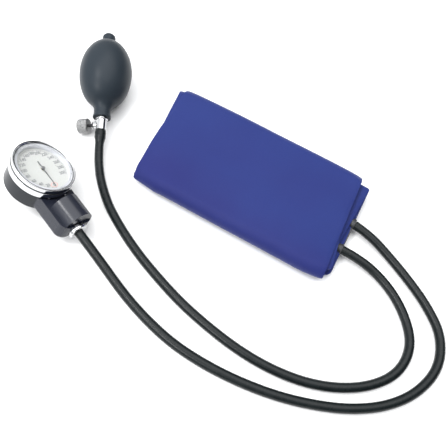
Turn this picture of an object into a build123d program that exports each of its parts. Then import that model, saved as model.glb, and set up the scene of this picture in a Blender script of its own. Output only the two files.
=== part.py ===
"""Aneroid sphygmomanometer: gauge, squeeze bulb with release valve, rolled cuff and two hoses.

Sizes are in millimetres. Up is +Z and the table is z = 0. The origin is on the rolled cuff's
flat underside, halfway along it and in line with the middle of its hose tab, with X along the
roll. The gauge and the bulb are each drawn on a plane of their own, because they lie tilted on
the table at the ends of their hoses.
"""
import os
from math import atan2, cos, hypot, pi, radians, sin, sqrt, tan

from build123d import *

os.makedirs("parts", exist_ok=True)

# Fits
rest_gap = 0.05
slip_gap = 0.05
soft_gap = 0.1

# Cuff: a cloth strip rolled flat round its bladder, seen from the side as six runs
cuff_length = 155.0
cuff_width = 96.5
cuff_offset = 3.0
cloth_thickness = 1.5
pocket_thickness = 2.6
layer_gap = 1.2
bladder_thickness = 1.2
bladder_length = 128.0
strip_end_margin = 12.0
strip_start_margin = 6.0
patch_length = 118.0
patch_width = 46.0
patch_recess = 0.7
patch_offset = 4.0
patch_corner = 3.0

# Hoses and their ports on the bladder
hose_diameter = 6.6
hose_bore = 3.2
port_spacing = 24.0
port_diameter = 7.6
port_length = 5.0
port_stand_off = 0.5
port_bore_depth = 4.0
port_lead = 17.0
tab_side_margin = 5.5
bulb_hose_lead = 17.5
gauge_hose_lead = 22.0

# Bulb
bulb_length = 58.4
bulb_diameter = 40.2
bulb_wall = 2.2
bulb_tilt = 12.0
bulb_heading = 119.2
bulb_x = -140.4
bulb_y = 20.8
neck_length = 9.4
neck_diameter = 12.8
neck_rounding = 4.0
neck_lip_diameter = 13.6
neck_lip_length = 2.0
neck_bore_depth = 16.0
nub_diameter = 9.4
nub_height = 5.4
nub_roof = 1.2
nub_hole_diameter = 2.4
nub_rounding = 2.6

# Air inlet valve in the far end of the bulb
inlet_body_diameter = 7.2
inlet_body_length = 8.6
inlet_chamber_diameter = 4.2
inlet_ball_diameter = 3.5
inlet_ball_travel = 0.8
inlet_seat_length = 1.8
inlet_air_hole = 1.6
inlet_cage_length = 1.4
cage_hole = 1.1

# Outlet check valve and release valve in the neck
spigot_diameter = 7.8
spigot_length = 13.0
valve_body_diameter = 7.6
valve_body_length = 10.0
valve_collar_diameter = 9.4
valve_collar_length = 1.6
valve_collar_rounding = 0.5
valve_passage = 2.2
outlet_chamber_diameter = 4.0
outlet_chamber_depth = 7.4
outlet_ball_diameter = 3.2
outlet_ball_travel = 0.8
outlet_seat_length = 1.8
barb_diameter = 4.8
barb_ring_diameter = 5.3
barb_length = 9.5
sleeve_diameter = 8.2
sleeve_length = 11.0
sleeve_taper = 5.5
sleeve_bore_taper = 0.5
barb_ring_starts = (2.6, 5.8)
barb_ring_length = 1.6

# Thumbscrew across the valve body
screw_height = -5.2
boss_diameter = 5.4
release_hole = 1.1
vent_hole = 0.7
screw_diameter = 2.6
screw_tip = 1.4
screw_tip_diameter = 0.5
screw_cone_length = 1.3
screw_pitch = 0.7
screw_turns = 2.0
seal_chamber_start = 2.7
seal_diameter = 3.9
seal_thickness = 0.9
seal_rounding = 0.2
seal_end_gap = 0.3
gland_diameter = 4.8
gland_length = 1.2
knob_diameter = 11.2
knob_length = 6.4
knob_gap = 5.2
knob_droop_angle = 19.0
knob_dimple_diameter = 5.6
knob_dimple_depth = 0.8
knob_knurls = 26
knurl_depth = 0.35

# Gauge case and its place on the table
gauge_x = -127.5
gauge_y = -87.2
dial_tilt = 29.9
dial_heading = 51.9
stem_turn = -69.5
case_diameter = 42.4
case_step = 0.6
case_mouth_wall = 1.4
case_depth = 19.6
case_floor = 1.6
case_rounding = 1.2
bezel_start = 13.5
bezel_wall = 1.8
bezel_lip = 0.8
bezel_rounding = 1.1
gauge_depth = 22.5
lens_thickness = 1.6
gasket_thickness = 0.7

# Connector block on the side of the case
block_reach = 46.8
block_width = 26.6
block_back = 1.0
block_front = 14.0
block_corner = 6.5
block_edge = 3.2
barrel_diameter = 22.4
barrel_axis = 12.6
barrel_start = 27.6
barrel_set_back = 1.5
bezel_recess = 1.0
bezel_recess_gap = 0.6
hose_axis = 8.4
connector_diameter = 13.6
connector_rounding = 0.6
connector_sink = 3.0
connector_proud = 1.0
connector_nipple = 5.0
air_drop = 30.0
air_bore = 1.6
air_cross_bore = 1.3
block_screw_spacing = 14.0
block_screw_height = 11.9
block_screw_diameter = 1.8
block_screw_head = 3.0
block_screw_head_length = 1.2
block_screw_length = 11.0

# Pressure capsule on its air bar
capsule_offset = -5.0
capsule_side_gap = 1.7
capsule_shell = 0.3
capsule_height = 2.8
capsule_ripple = 0.35
capsule_ripples = 4
capsule_rim_width = 1.5
capsule_overlap = 0.2
capsule_boss_diameter = 4.0
capsule_crown_diameter = 2.4
air_bar_thickness = 2.6
air_bar_width = 7.0
air_bar_corner = 1.0
air_bar_end_gap = 0.8
air_nipple_diameter = 3.4
air_nipple_length = 5.0
air_nipple_root = 2.0
button_pad_diameter = 5.0
button_pad_thickness = 0.3
button_tip_radius = 0.8
button_hole_gap = 0.3

# Movement: two plates, a rocking shaft, a toothed sector and the pointer's pinion
plate_thickness = 0.8
base_plate_gap = 0.7
top_plate_level = 15.6
top_plate_gap = 4.0
top_window_x = 6.5
top_window_y = -6.0
top_window_diameter = 6.4
post_diameter = 3.4
post_inset = 2.05
post_angle = 56.6
pillar_diameter = 2.0
pillar_inset = 1.2
pillar_angles = (30.0, 150.0, 282.0)
small_screw_head = 2.6
small_screw_head_height = 0.5
small_screw_shank = 1.2
small_screw_depth = 3.0

tooth_module = 0.2
pinion_teeth = 12
sector_teeth = 120
sector_swing = 30.0
tooth_half_width = 0.13
tooth_addendum = 0.16
tooth_dedendum = 0.22
pressure_angle = 20.0
sector_level = 13.9
sector_thickness = 0.6
pinion_extra = 0.2
sector_margin_teeth = 2
sector_rim = 1.6
sector_hub = 3.2
sector_arbor_diameter = 1.0
web_root = 1.2
web_root_spread = 57.3
web_window_diameter = 3.8
web_window_place = 0.62
tail_width = 1.3
tail_radius = 1.95
tail_pin_diameter = 0.7
tail_pin_length = 1.6
arbor_diameter = 1.0
contact_gap = 0.06

rocker_x = -10.0
rocker_axis = 10.9
rocker_diameter = 1.2
rocker_arm_width = 1.6
rocker_arm_thickness = 0.8
rocker_arm_overrun = 0.5
pusher_width = 1.0
pusher_thickness = 0.7
pusher_height = 2.8
ear_thickness = 0.7
ear_half_length = 1.1
ear_inner = -4.9
ear_outer = 1.4

hairspring_level = 12.0
hairspring_height = 0.4
hairspring_thickness = 0.14
hairspring_pitch = 0.55
hairspring_half_turns = 8
collet_diameter = 1.8
collet_height = 0.8
stud_diameter = 0.8

# Dial and pointer
dial_level = 17.0
dial_thickness = 0.5
dial_gap = 0.4
dial_hole = 2.4
dial_ring_wall = 0.7
dial_foot_spacing = 24.0
dial_foot_diameter = 3.0
dial_screw_head = 2.0
dial_screw_head_height = 0.35
pointer_level = 18.2
pointer_thickness = 0.25
pointer_reach = 15.6
pointer_tail = 6.4
pointer_width = 0.8
pointer_tip_width = 0.3
pointer_hub_diameter = 2.4
pointer_hub_height = 1.2
pointer_collar_diameter = 1.8
pointer_collar_gap = 0.3

# Levels and reaches that follow from these sizes
screw_travel = screw_pitch * screw_turns
boss_reach = seal_chamber_start + seal_thickness + screw_travel + 2 * seal_end_gap
knob_start = boss_reach + gland_length + knob_gap
bezel_seat_diameter = case_diameter - 2 * case_step
case_bore = bezel_seat_diameter - 2 * case_mouth_wall
bezel_diameter = bezel_seat_diameter + 2 * bezel_wall
bezel_opening = bezel_seat_diameter - 2 * bezel_lip
base_plate_diameter = case_bore - 2 * base_plate_gap
top_plate_diameter = case_bore - 2 * top_plate_gap
dial_diameter = case_bore - 2 * dial_gap
pillar_circle_radius = top_plate_diameter / 2 - pillar_inset
post_x = (case_bore / 2 - post_inset) * cos(radians(post_angle))
post_y = (case_bore / 2 - post_inset) * sin(radians(post_angle))
capsule_diameter = case_bore - 2 * (capsule_side_gap - capsule_offset)
capsule_level = case_floor + air_bar_thickness
capsule_rim_level = capsule_height - capsule_shell - capsule_ripple
capsule_lift = capsule_rim_level - soft_gap - rest_gap - capsule_overlap
crown_level = capsule_level + capsule_height
base_plate_level = crown_level + button_pad_thickness + capsule_lift + soft_gap
half_length = cuff_length / 2
hose_radius = hose_diameter / 2
runs_from_table = (5, 3, 1, 0, 2, 4)
pocket_runs = (0, 1)
run_level = {}
next_level = 0.0
for run in runs_from_table:
    run_thickness = pocket_thickness if run in pocket_runs else cloth_thickness
    run_level[run] = next_level + run_thickness / 2
    next_level += run_thickness + layer_gap
cuff_thickness = next_level - layer_gap
fold_y = cuff_width / 2 - cuff_thickness / 2
patch_thickness = patch_recess + (layer_gap - soft_gap) / 2
patch_y = cuff_offset + patch_offset
port_x = half_length + port_stand_off + port_length
port_level = run_level[1]
roll_section = Plane(origin=(0, cuff_offset, 0), x_dir=(0, 1, 0), z_dir=(1, 0, 0))


def run_path(first, last, start_y, end_y):
    """Centre line of the rolled strip from one run to another, in the roll's end view."""
    y = start_y
    for index in range(first, last + 1):
        side = 1 if index % 2 == 0 else -1
        stop = end_y if index == last else side * fold_y
        Line((y, run_level[index]), (stop, run_level[index]))
        y = stop
        if index < last:
            middle = (run_level[index] + run_level[index + 1]) / 2
            radius = abs(run_level[index] - run_level[index + 1]) / 2
            bulge = (stop + side * radius, middle)
            ThreePointArc((stop, run_level[index]), bulge, (stop, run_level[index + 1]))


# Sleeve: nylon cloth strip with the bladder pocket in its first two runs
strip_start_y = -fold_y + strip_start_margin
strip_end_y = -fold_y + strip_end_margin
bladder_start_y = strip_start_y + strip_start_margin
bladder_end_y = -fold_y
with BuildPart() as cuff_sleeve:
    with BuildSketch(roll_section):
        with BuildLine():
            run_path(0, 1, strip_start_y, -fold_y)
        trace(line_width=pocket_thickness)
    extrude(amount=half_length, both=True)
    with BuildSketch(roll_section):
        with BuildLine():
            middle = (run_level[1] + run_level[2]) / 2
            radius = (run_level[2] - run_level[1]) / 2
            ThreePointArc((-fold_y, run_level[1]), (-fold_y - radius, middle), (-fold_y, run_level[2]))
            run_path(2, 5, -fold_y, strip_end_y)
        trace(line_width=cloth_thickness)
    extrude(amount=half_length, both=True)
    with BuildSketch(roll_section):
        with BuildLine():
            run_path(0, 1, bladder_start_y - soft_gap, bladder_end_y)
        trace(line_width=bladder_thickness + 2 * soft_gap)
    extrude(amount=bladder_length / 2 + soft_gap, both=True, mode=Mode.SUBTRACT)
    with BuildSketch(Plane.YZ.offset(half_length)):
        with Locations((0, port_level)):
            Rectangle(port_spacing + 2 * (tab_side_margin + soft_gap), bladder_thickness + 2 * soft_gap)
    extrude(amount=-(half_length - bladder_length / 2), mode=Mode.SUBTRACT)
    with Locations((0, patch_y, run_level[5] + cloth_thickness / 2),
                   (0, patch_y, run_level[3] - cloth_thickness / 2)):
        Box(patch_length + 2 * soft_gap, patch_width + 2 * soft_gap, 2 * patch_recess, mode=Mode.SUBTRACT)
cuff_sleeve.part.label = "cuff_sleeve"
export_step(cuff_sleeve.part, "parts/cuff_sleeve.step")

# Bladder: two rubber sheets face to face, with a tab that carries the two hose ports
with BuildPart() as bladder:
    with BuildSketch(roll_section):
        with BuildLine():
            run_path(0, 1, bladder_start_y, bladder_end_y + soft_gap)
        trace(line_width=bladder_thickness)
    extrude(amount=bladder_length / 2, both=True)
    with BuildSketch(Plane.YZ.offset(port_x)):
        with Locations((0, port_level)):
            Rectangle(port_spacing + 2 * tab_side_margin, bladder_thickness)
    extrude(amount=-(port_x - bladder_length / 2))
    with BuildSketch(Plane.YZ.offset(port_x - port_length)):
        with Locations((-port_spacing / 2, port_level), (port_spacing / 2, port_level)):
            Circle(port_diameter / 2)
    extrude(amount=port_length)
    with BuildSketch(Plane.YZ.offset(port_x)):
        with Locations((-port_spacing / 2, port_level), (port_spacing / 2, port_level)):
            Circle(hose_bore / 2)
    extrude(amount=-port_bore_depth, mode=Mode.SUBTRACT)
bladder.part.label = "bladder"
export_step(bladder.part, "parts/bladder.step")

# Hook and loop patches, sewn into the facing sides of the two lowest runs
hook_level = run_level[5] + cloth_thickness / 2 - patch_recess
with BuildPart() as hook_patch:
    with BuildSketch(Plane.XY.offset(hook_level)):
        with Locations((0, patch_y)):
            RectangleRounded(patch_length, patch_width, patch_corner)
    extrude(amount=patch_thickness)
hook_patch.part.label = "hook_patch"
export_step(hook_patch.part, "parts/hook_patch.step")

loop_level = run_level[3] - cloth_thickness / 2 + patch_recess
with BuildPart() as loop_patch:
    with BuildSketch(Plane.XY.offset(loop_level)):
        with Locations((0, patch_y)):
            RectangleRounded(patch_length, patch_width, patch_corner)
    extrude(amount=-patch_thickness)
loop_patch.part.label = "loop_patch"
export_step(loop_patch.part, "parts/loop_patch.step")

# Bulb's own planes: z runs from the neck's mouth into the bulb, x points to the thumbscrew
tilt = radians(bulb_tilt)
heading = radians(bulb_heading)
bulb_axis = Vector(cos(tilt) * cos(heading), cos(tilt) * sin(heading), sin(tilt))
bulb_half = bulb_length / 2
bulb_radius = bulb_diameter / 2
bulb_height = hypot(bulb_half * sin(tilt), bulb_radius * cos(tilt)) + rest_gap
bulb_middle = Vector(bulb_x, bulb_y, bulb_height)
bulb_centre = neck_length + bulb_half
neck_mouth = bulb_middle - bulb_axis * bulb_centre
knob_droop = radians(knob_droop_angle)
sideways = Vector(0, 0, 1).cross(bulb_axis).normalized()
upward = bulb_axis.cross(sideways)
knob_direction = sideways * cos(knob_droop) - upward * sin(knob_droop)
bulb_frame = Plane(origin=neck_mouth, x_dir=knob_direction, z_dir=bulb_axis)
bulb_section = Plane(origin=neck_mouth, x_dir=bulb_frame.x_dir, z_dir=-bulb_frame.y_dir)
bulb_line = Axis(neck_mouth, bulb_axis)
screw_frame = Plane(origin=bulb_frame.from_local_coords((0, 0, screw_height)),
                    x_dir=bulb_frame.y_dir, z_dir=bulb_frame.x_dir)

# Bulb: one moulded rubber shell, with a neck for the valve and a nub for the air inlet
inlet_plug_length = inlet_body_length - nub_roof
nub_top = neck_length + bulb_length + nub_height
with BuildPart() as bulb:
    with BuildSketch(bulb_section) as bulb_outline:
        with Locations((0, bulb_centre)):
            Ellipse(bulb_radius, bulb_half)
        with Locations((0, neck_bore_depth / 2)):
            Rectangle(neck_diameter, neck_bore_depth)
        neck_root = [corner for corner in bulb_outline.vertices() if corner.Y > neck_lip_length
                     and abs(abs(corner.X) - neck_diameter / 2) < rest_gap]
        fillet(neck_root, neck_rounding)
        with Locations((0, neck_lip_length / 2)):
            Rectangle(neck_lip_diameter, neck_lip_length)
        with Locations((0, nub_top - inlet_body_length / 2)):
            Rectangle(nub_diameter, inlet_body_length)
        with Locations((0, bulb_centre)):
            Ellipse(bulb_radius - bulb_wall, bulb_half - bulb_wall, mode=Mode.SUBTRACT)
        with Locations((0, neck_bore_depth / 2)):
            Rectangle(spigot_diameter + 2 * slip_gap, neck_bore_depth + slip_gap, mode=Mode.SUBTRACT)
        with Locations((0, nub_top - inlet_body_length)):
            Rectangle(inlet_body_diameter + 2 * slip_gap, 2 * inlet_plug_length, mode=Mode.SUBTRACT)
        with Locations((0, nub_top)):
            Rectangle(nub_hole_diameter, 3 * nub_roof, mode=Mode.SUBTRACT)
        with Locations((-bulb_radius, bulb_centre)):
            Rectangle(2 * bulb_radius, 3 * bulb_centre, mode=Mode.SUBTRACT)
    revolve(axis=bulb_line)
    nub_rim = bulb.edges().filter_by(GeomType.CIRCLE).group_by(bulb_line)[-1]
    fillet(nub_rim.sort_by(SortBy.RADIUS)[-1], nub_rounding)
bulb.part.label = "bulb"
export_step(bulb.part, "parts/bulb.step")

# Inlet valve: plug with an air hole, a ball that seals it, and a slotted cage behind the ball
inlet_top = nub_top - nub_roof - slip_gap
inlet_bottom = inlet_top - inlet_plug_length
ball_seat_level = inlet_top - inlet_seat_length
with BuildPart() as inlet_valve_body:
    with BuildSketch(bulb_frame.offset(inlet_bottom)):
        Circle(inlet_body_diameter / 2)
        Circle(inlet_chamber_diameter / 2, mode=Mode.SUBTRACT)
    extrude(amount=ball_seat_level - inlet_bottom)
    with BuildSketch(bulb_frame.offset(ball_seat_level)):
        Circle(inlet_body_diameter / 2)
        Circle(inlet_air_hole / 2, mode=Mode.SUBTRACT)
    extrude(amount=inlet_seat_length)
inlet_valve_body.part.label = "inlet_valve_body"
export_step(inlet_valve_body.part, "parts/inlet_valve_body.step")

inlet_ball_level = ball_seat_level - inlet_ball_diameter / 2 - rest_gap
with BuildPart(bulb_frame.offset(inlet_ball_level)) as inlet_ball:
    Sphere(inlet_ball_diameter / 2)
inlet_ball.part.label = "inlet_ball"
export_step(inlet_ball.part, "parts/inlet_ball.step")

cage_top = inlet_ball_level - inlet_ball_diameter / 2 - inlet_ball_travel - rest_gap
with BuildPart() as inlet_cage:
    with BuildSketch(bulb_frame.offset(cage_top)):
        Circle(inlet_chamber_diameter / 2)
        with PolarLocations(inlet_chamber_diameter / 3, 3):
            Circle(cage_hole / 2, mode=Mode.SUBTRACT)
    extrude(amount=-inlet_cage_length)
inlet_cage.part.label = "inlet_cage"
export_step(inlet_cage.part, "parts/inlet_cage.step")

# Valve body: chromed brass, with a spigot in the neck, a side boss and a barb for the hose
chamber_top = spigot_length
chamber_bottom = spigot_length - outlet_chamber_depth
barb_end = -(valve_body_length + barb_length)
vent_start = (screw_tip + screw_cone_length + seal_chamber_start) / 2
vent_plane = Plane(origin=screw_frame.offset(vent_start).origin, z_dir=bulb_frame.y_dir)
with BuildPart() as valve_body:
    with BuildSketch(bulb_frame):
        Circle(spigot_diameter / 2)
    extrude(amount=spigot_length)
    with BuildSketch(bulb_frame.offset(-rest_gap)):
        Circle(valve_collar_diameter / 2)
    extrude(amount=-valve_collar_length)
    with BuildSketch(bulb_frame):
        Circle(valve_body_diameter / 2)
    extrude(amount=-valve_body_length)
    with BuildSketch(bulb_frame.offset(-valve_body_length)):
        Circle(barb_diameter / 2)
    extrude(amount=-barb_length)
    for ring_start in barb_ring_starts:
        with BuildSketch(bulb_frame.offset(-valve_body_length - ring_start)):
            Circle(barb_diameter / 2)
        with BuildSketch(bulb_frame.offset(-valve_body_length - ring_start + barb_ring_length)):
            Circle(barb_ring_diameter / 2)
        loft()
    with BuildSketch(screw_frame):
        Circle(boss_diameter / 2)
    extrude(amount=boss_reach)
    with BuildSketch(bulb_frame.offset(barb_end)):
        Circle(valve_passage / 2)
    extrude(amount=chamber_bottom - barb_end, mode=Mode.SUBTRACT)
    with BuildSketch(bulb_frame.offset(chamber_bottom)):
        Circle(outlet_chamber_diameter / 2)
    extrude(amount=outlet_chamber_depth, mode=Mode.SUBTRACT)
    with BuildSketch(screw_frame):
        Circle(release_hole / 2)
    extrude(amount=boss_reach, mode=Mode.SUBTRACT)
    with BuildSketch(vent_plane):
        Circle(vent_hole / 2)
    extrude(amount=boss_diameter, mode=Mode.SUBTRACT)
    with BuildSketch(screw_frame.offset(screw_tip)):
        Circle(screw_diameter / 2 + slip_gap)
    extrude(amount=boss_reach, mode=Mode.SUBTRACT)
    with BuildSketch(screw_frame.offset(seal_chamber_start)):
        Circle(seal_diameter / 2 + slip_gap)
    extrude(amount=boss_reach, mode=Mode.SUBTRACT)
    collar_edges = valve_body.edges().filter_by(GeomType.CIRCLE).sort_by(SortBy.RADIUS)[-2:]
    fillet(collar_edges, valve_collar_rounding)
valve_body.part.label = "valve_body"
export_step(valve_body.part, "parts/valve_body.step")

# Outlet check valve: a seat ring pressed into the spigot and the ball below it
with BuildPart() as outlet_seat:
    with BuildSketch(bulb_frame.offset(chamber_top)):
        Circle(outlet_chamber_diameter / 2)
        Circle(inlet_air_hole / 2, mode=Mode.SUBTRACT)
    extrude(amount=-outlet_seat_length)
outlet_seat.part.label = "outlet_seat"
export_step(outlet_seat.part, "parts/outlet_seat.step")

outlet_ball_level = chamber_top - outlet_seat_length - outlet_ball_diameter / 2 - rest_gap
with BuildPart(bulb_frame.offset(outlet_ball_level)) as outlet_ball:
    Sphere(outlet_ball_diameter / 2)
outlet_ball.part.label = "outlet_ball"
export_step(outlet_ball.part, "parts/outlet_ball.step")

outlet_stop_level = outlet_ball_level - outlet_ball_diameter / 2 - outlet_ball_travel - rest_gap
with BuildPart() as outlet_cage:
    with BuildSketch(bulb_frame.offset(outlet_stop_level)):
        Circle(outlet_chamber_diameter / 2)
        with PolarLocations(outlet_chamber_diameter / 3, 3):
            Circle(cage_hole / 2, mode=Mode.SUBTRACT)
    extrude(amount=chamber_bottom - outlet_stop_level)
outlet_cage.part.label = "outlet_cage"
export_step(outlet_cage.part, "parts/outlet_cage.step")

# Release screw: a needle with a fine thread, in a sealed boss, turned by a knurled knob
with BuildPart() as release_screw:
    with BuildSketch(screw_frame.offset(screw_tip + screw_cone_length)):
        Circle(screw_diameter / 2)
    extrude(amount=knob_start - screw_tip - screw_cone_length)
    with BuildSketch(screw_frame.offset(screw_tip + screw_cone_length)):
        Circle(screw_diameter / 2)
    with BuildSketch(screw_frame.offset(screw_tip + rest_gap)):
        Circle(screw_tip_diameter / 2)
    loft()
release_screw.part.label = "release_screw"
export_step(release_screw.part, "parts/release_screw.step")

with BuildPart() as release_knob:
    with BuildSketch(screw_frame.offset(knob_start)):
        Circle(knob_diameter / 2)
        with PolarLocations(knob_diameter / 2, knob_knurls):
            Circle(knurl_depth, mode=Mode.SUBTRACT)
    extrude(amount=knob_length)
    with BuildSketch(screw_frame.offset(knob_start + knob_length)):
        Circle(knob_dimple_diameter / 2)
    extrude(amount=-knob_dimple_depth, mode=Mode.SUBTRACT)
release_knob.part.label = "release_knob"
export_step(release_knob.part, "parts/release_knob.step")

seal_start = seal_chamber_start + seal_end_gap
with BuildPart() as stem_seal:
    with BuildSketch(screw_frame.offset(seal_start)):
        Circle(seal_diameter / 2)
        Circle(screw_diameter / 2 + slip_gap, mode=Mode.SUBTRACT)
    extrude(amount=seal_thickness)
    fillet(stem_seal.edges().filter_by(GeomType.CIRCLE), seal_rounding)
stem_seal.part.label = "stem_seal"
export_step(stem_seal.part, "parts/stem_seal.step")

with BuildPart() as gland_nut:
    with BuildSketch(screw_frame.offset(boss_reach)):
        RegularPolygon(gland_diameter / 2, 6)
        Circle(screw_diameter / 2 + slip_gap, mode=Mode.SUBTRACT)
    extrude(amount=gland_length)
gland_nut.part.label = "gland_nut"
export_step(gland_nut.part, "parts/gland_nut.step")

# Stretched end of the bulb's hose, over the barb
sleeve_end = valve_body_length + sleeve_length
with BuildPart() as bulb_hose_sleeve:
    with BuildSketch(bulb_section):
        with BuildLine():
            Polyline((sleeve_diameter / 2, -valve_body_length - rest_gap),
                     (sleeve_diameter / 2, -sleeve_end + sleeve_taper),
                     (hose_radius, -sleeve_end),
                     (hose_bore / 2, -sleeve_end),
                     (hose_bore / 2, barb_end - rest_gap - sleeve_bore_taper),
                     (barb_ring_diameter / 2 + slip_gap, barb_end - rest_gap),
                     (barb_ring_diameter / 2 + slip_gap, -valve_body_length - rest_gap),
                     close=True)
        make_face()
    revolve(axis=bulb_line)
bulb_hose_sleeve.part.label = "bulb_hose_sleeve"
export_step(bulb_hose_sleeve.part, "parts/bulb_hose_sleeve.step")

# Gauge's own planes: z runs out of the dial from the back of the case, x runs down the stem
tilt = radians(dial_tilt)
heading = radians(dial_heading)
dial_normal = Vector(sin(tilt) * cos(heading), sin(tilt) * sin(heading), cos(tilt))
level_line = Vector(-sin(heading), cos(heading), 0)
slope_line = level_line.cross(dial_normal)
stem_angle = radians(stem_turn)
stem_direction = slope_line * cos(stem_angle) + level_line * sin(stem_angle)
across = dial_normal.cross(stem_direction)
case_radius = case_diameter / 2
rim_drop = (case_radius - case_rounding) * sin(tilt) + case_rounding * (1 - cos(tilt))
corner_drop = (-stem_direction.Z * (block_reach - block_corner)
               + abs(across.Z) * (block_width / 2 - block_corner)
               + (block_corner - block_edge) * hypot(stem_direction.Z, across.Z)
               - dial_normal.Z * (block_back + block_edge) + block_edge)
gauge_origin = Vector(gauge_x, gauge_y, max(rim_drop, corner_drop) + rest_gap)
gauge_frame = Plane(origin=gauge_origin, x_dir=stem_direction, z_dir=dial_normal)
gauge_section = Plane(origin=gauge_origin, x_dir=gauge_frame.x_dir, z_dir=-gauge_frame.y_dir)
gauge_line = Axis(gauge_origin, dial_normal)
stem_line = Axis(gauge_origin, stem_direction)


def stem_plane(distance, height):
    """Plane across the stem, with x across the block and y out of the dial."""
    return Plane(origin=gauge_frame.from_local_coords((distance, 0, height)),
                 x_dir=gauge_frame.y_dir, z_dir=gauge_frame.x_dir)


def rocker_plane(offset):
    """Plane across the rocking shaft, with x along the stem and y out of the dial."""
    return Plane(origin=gauge_frame.from_local_coords((rocker_x, offset, rocker_axis)),
                 x_dir=gauge_frame.x_dir, z_dir=-gauge_frame.y_dir)


# Case: moulded black cup with four posts for the movement
inner_radius = case_bore / 2
wall_at_screw = sqrt(inner_radius**2 - (block_screw_spacing / 2 + block_screw_head / 2) ** 2)
head_end = wall_at_screw - rest_gap
post_points = [(x, y) for x in (-post_x, post_x) for y in (-post_y, post_y)]
with BuildPart() as gauge_case:
    with BuildSketch(gauge_frame):
        Circle(case_radius)
    extrude(amount=bezel_start)
    fillet(gauge_case.edges().sort_by(gauge_line)[0], case_rounding)
    with BuildSketch(gauge_frame.offset(bezel_start)):
        Circle(bezel_seat_diameter / 2)
    extrude(amount=case_depth - bezel_start)
    with BuildSketch(gauge_frame.offset(case_floor)):
        Circle(inner_radius)
    extrude(amount=case_depth, mode=Mode.SUBTRACT)
    with BuildSketch(gauge_frame.offset(case_floor)):
        with Locations(*post_points):
            Circle(post_diameter / 2)
    extrude(amount=base_plate_level - case_floor)
    with BuildSketch(gauge_frame.offset(base_plate_level)):
        with Locations(*post_points):
            Circle(small_screw_shank / 2)
    extrude(amount=-small_screw_depth, mode=Mode.SUBTRACT)
    with BuildSketch(stem_plane(0, case_floor + air_bar_thickness / 2)):
        Circle(air_nipple_diameter / 2 + slip_gap)
    extrude(amount=case_diameter, mode=Mode.SUBTRACT)
    with BuildSketch(stem_plane(0, block_screw_height)):
        with Locations((-block_screw_spacing / 2, 0), (block_screw_spacing / 2, 0)):
            Circle(block_screw_diameter / 2 + slip_gap)
    extrude(amount=case_diameter, mode=Mode.SUBTRACT)
gauge_case.part.label = "gauge_case"
export_step(gauge_case.part, "parts/gauge_case.step")

# Connector block: moulded slab with a barrel, hollowed where the round case seats
socket_end = block_reach + connector_proud
air_level = case_floor + air_bar_thickness / 2
with BuildPart() as stem_block:
    with BuildSketch(gauge_frame.offset(block_back)):
        with Locations((block_reach / 2, 0)):
            Rectangle(block_reach, block_width)
    extrude(amount=block_front - block_back)
    upright_edges = stem_block.edges().filter_by(gauge_line)
    fillet(upright_edges.sort_by(stem_line)[-2:], block_corner)
    with BuildSketch(stem_plane(barrel_start, barrel_axis)):
        Circle(barrel_diameter / 2)
    extrude(amount=block_reach - barrel_start - barrel_set_back)
    back_edges = stem_block.edges().group_by(gauge_line)[0]
    fillet(back_edges.sort_by(stem_line)[1:], block_edge)
    with BuildSketch(gauge_frame):
        Circle(case_radius + rest_gap)
    extrude(amount=bezel_start, mode=Mode.SUBTRACT)
    with BuildSketch(gauge_frame.offset(bezel_start - bezel_recess)):
        Circle(bezel_diameter / 2 + bezel_recess_gap)
    extrude(amount=gauge_depth, mode=Mode.SUBTRACT)
    with BuildSketch(stem_plane(block_reach - connector_sink, hose_axis)):
        Circle(connector_diameter / 2 + slip_gap)
    extrude(amount=2 * connector_sink, mode=Mode.SUBTRACT)
    with BuildSketch(stem_plane(air_drop, hose_axis)):
        Circle(air_bore / 2)
    extrude(amount=block_reach - air_drop, mode=Mode.SUBTRACT)
    with BuildSketch(gauge_frame.offset(air_level)):
        with Locations((air_drop, 0)):
            Circle(air_cross_bore / 2)
    extrude(amount=hose_axis - air_level, mode=Mode.SUBTRACT)
    with BuildSketch(stem_plane(0, air_level)):
        Circle(air_bore / 2)
    extrude(amount=air_drop, mode=Mode.SUBTRACT)
    with BuildSketch(stem_plane(0, air_level)):
        Circle(air_nipple_diameter / 2 + slip_gap)
    extrude(amount=case_radius + air_nipple_length, mode=Mode.SUBTRACT)
    with BuildSketch(stem_plane(0, block_screw_height)):
        with Locations((-block_screw_spacing / 2, 0), (block_screw_spacing / 2, 0)):
            Circle(block_screw_diameter / 2 + slip_gap)
    extrude(amount=head_end + block_screw_length + rest_gap, mode=Mode.SUBTRACT)
stem_block.part.label = "stem_block"
export_step(stem_block.part, "parts/stem_block.step")

# Two screws hold the block to the case from inside
with BuildPart() as block_screws:
    with BuildSketch(stem_plane(head_end, block_screw_height)):
        with Locations((-block_screw_spacing / 2, 0), (block_screw_spacing / 2, 0)):
            Circle(block_screw_head / 2)
    extrude(amount=-block_screw_head_length)
    with BuildSketch(stem_plane(head_end, block_screw_height)):
        with Locations((-block_screw_spacing / 2, 0), (block_screw_spacing / 2, 0)):
            Circle(block_screw_diameter / 2)
    extrude(amount=block_screw_length)
block_screws.part.label = "block_screws"
export_step(block_screws.part, "parts/block_screws.step")

# Hose connector: chromed collar in the block's end, with a nipple inside the hose
with BuildPart() as hose_connector:
    with BuildSketch(stem_plane(block_reach - connector_sink, hose_axis)):
        Circle(connector_diameter / 2)
    extrude(amount=connector_sink + connector_proud)
    rim = hose_connector.edges().filter_by(GeomType.CIRCLE).sort_by(stem_line)[-1]
    fillet(rim, connector_rounding)
    with BuildSketch(stem_plane(socket_end, hose_axis)):
        Circle(hose_bore / 2 - slip_gap)
    extrude(amount=connector_nipple)
    with BuildSketch(stem_plane(block_reach - connector_sink, hose_axis)):
        Circle(air_bore / 2)
    extrude(amount=connector_sink + connector_proud + connector_nipple, mode=Mode.SUBTRACT)
hose_connector.part.label = "hose_connector"
export_step(hose_connector.part, "parts/hose_connector.step")

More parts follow.
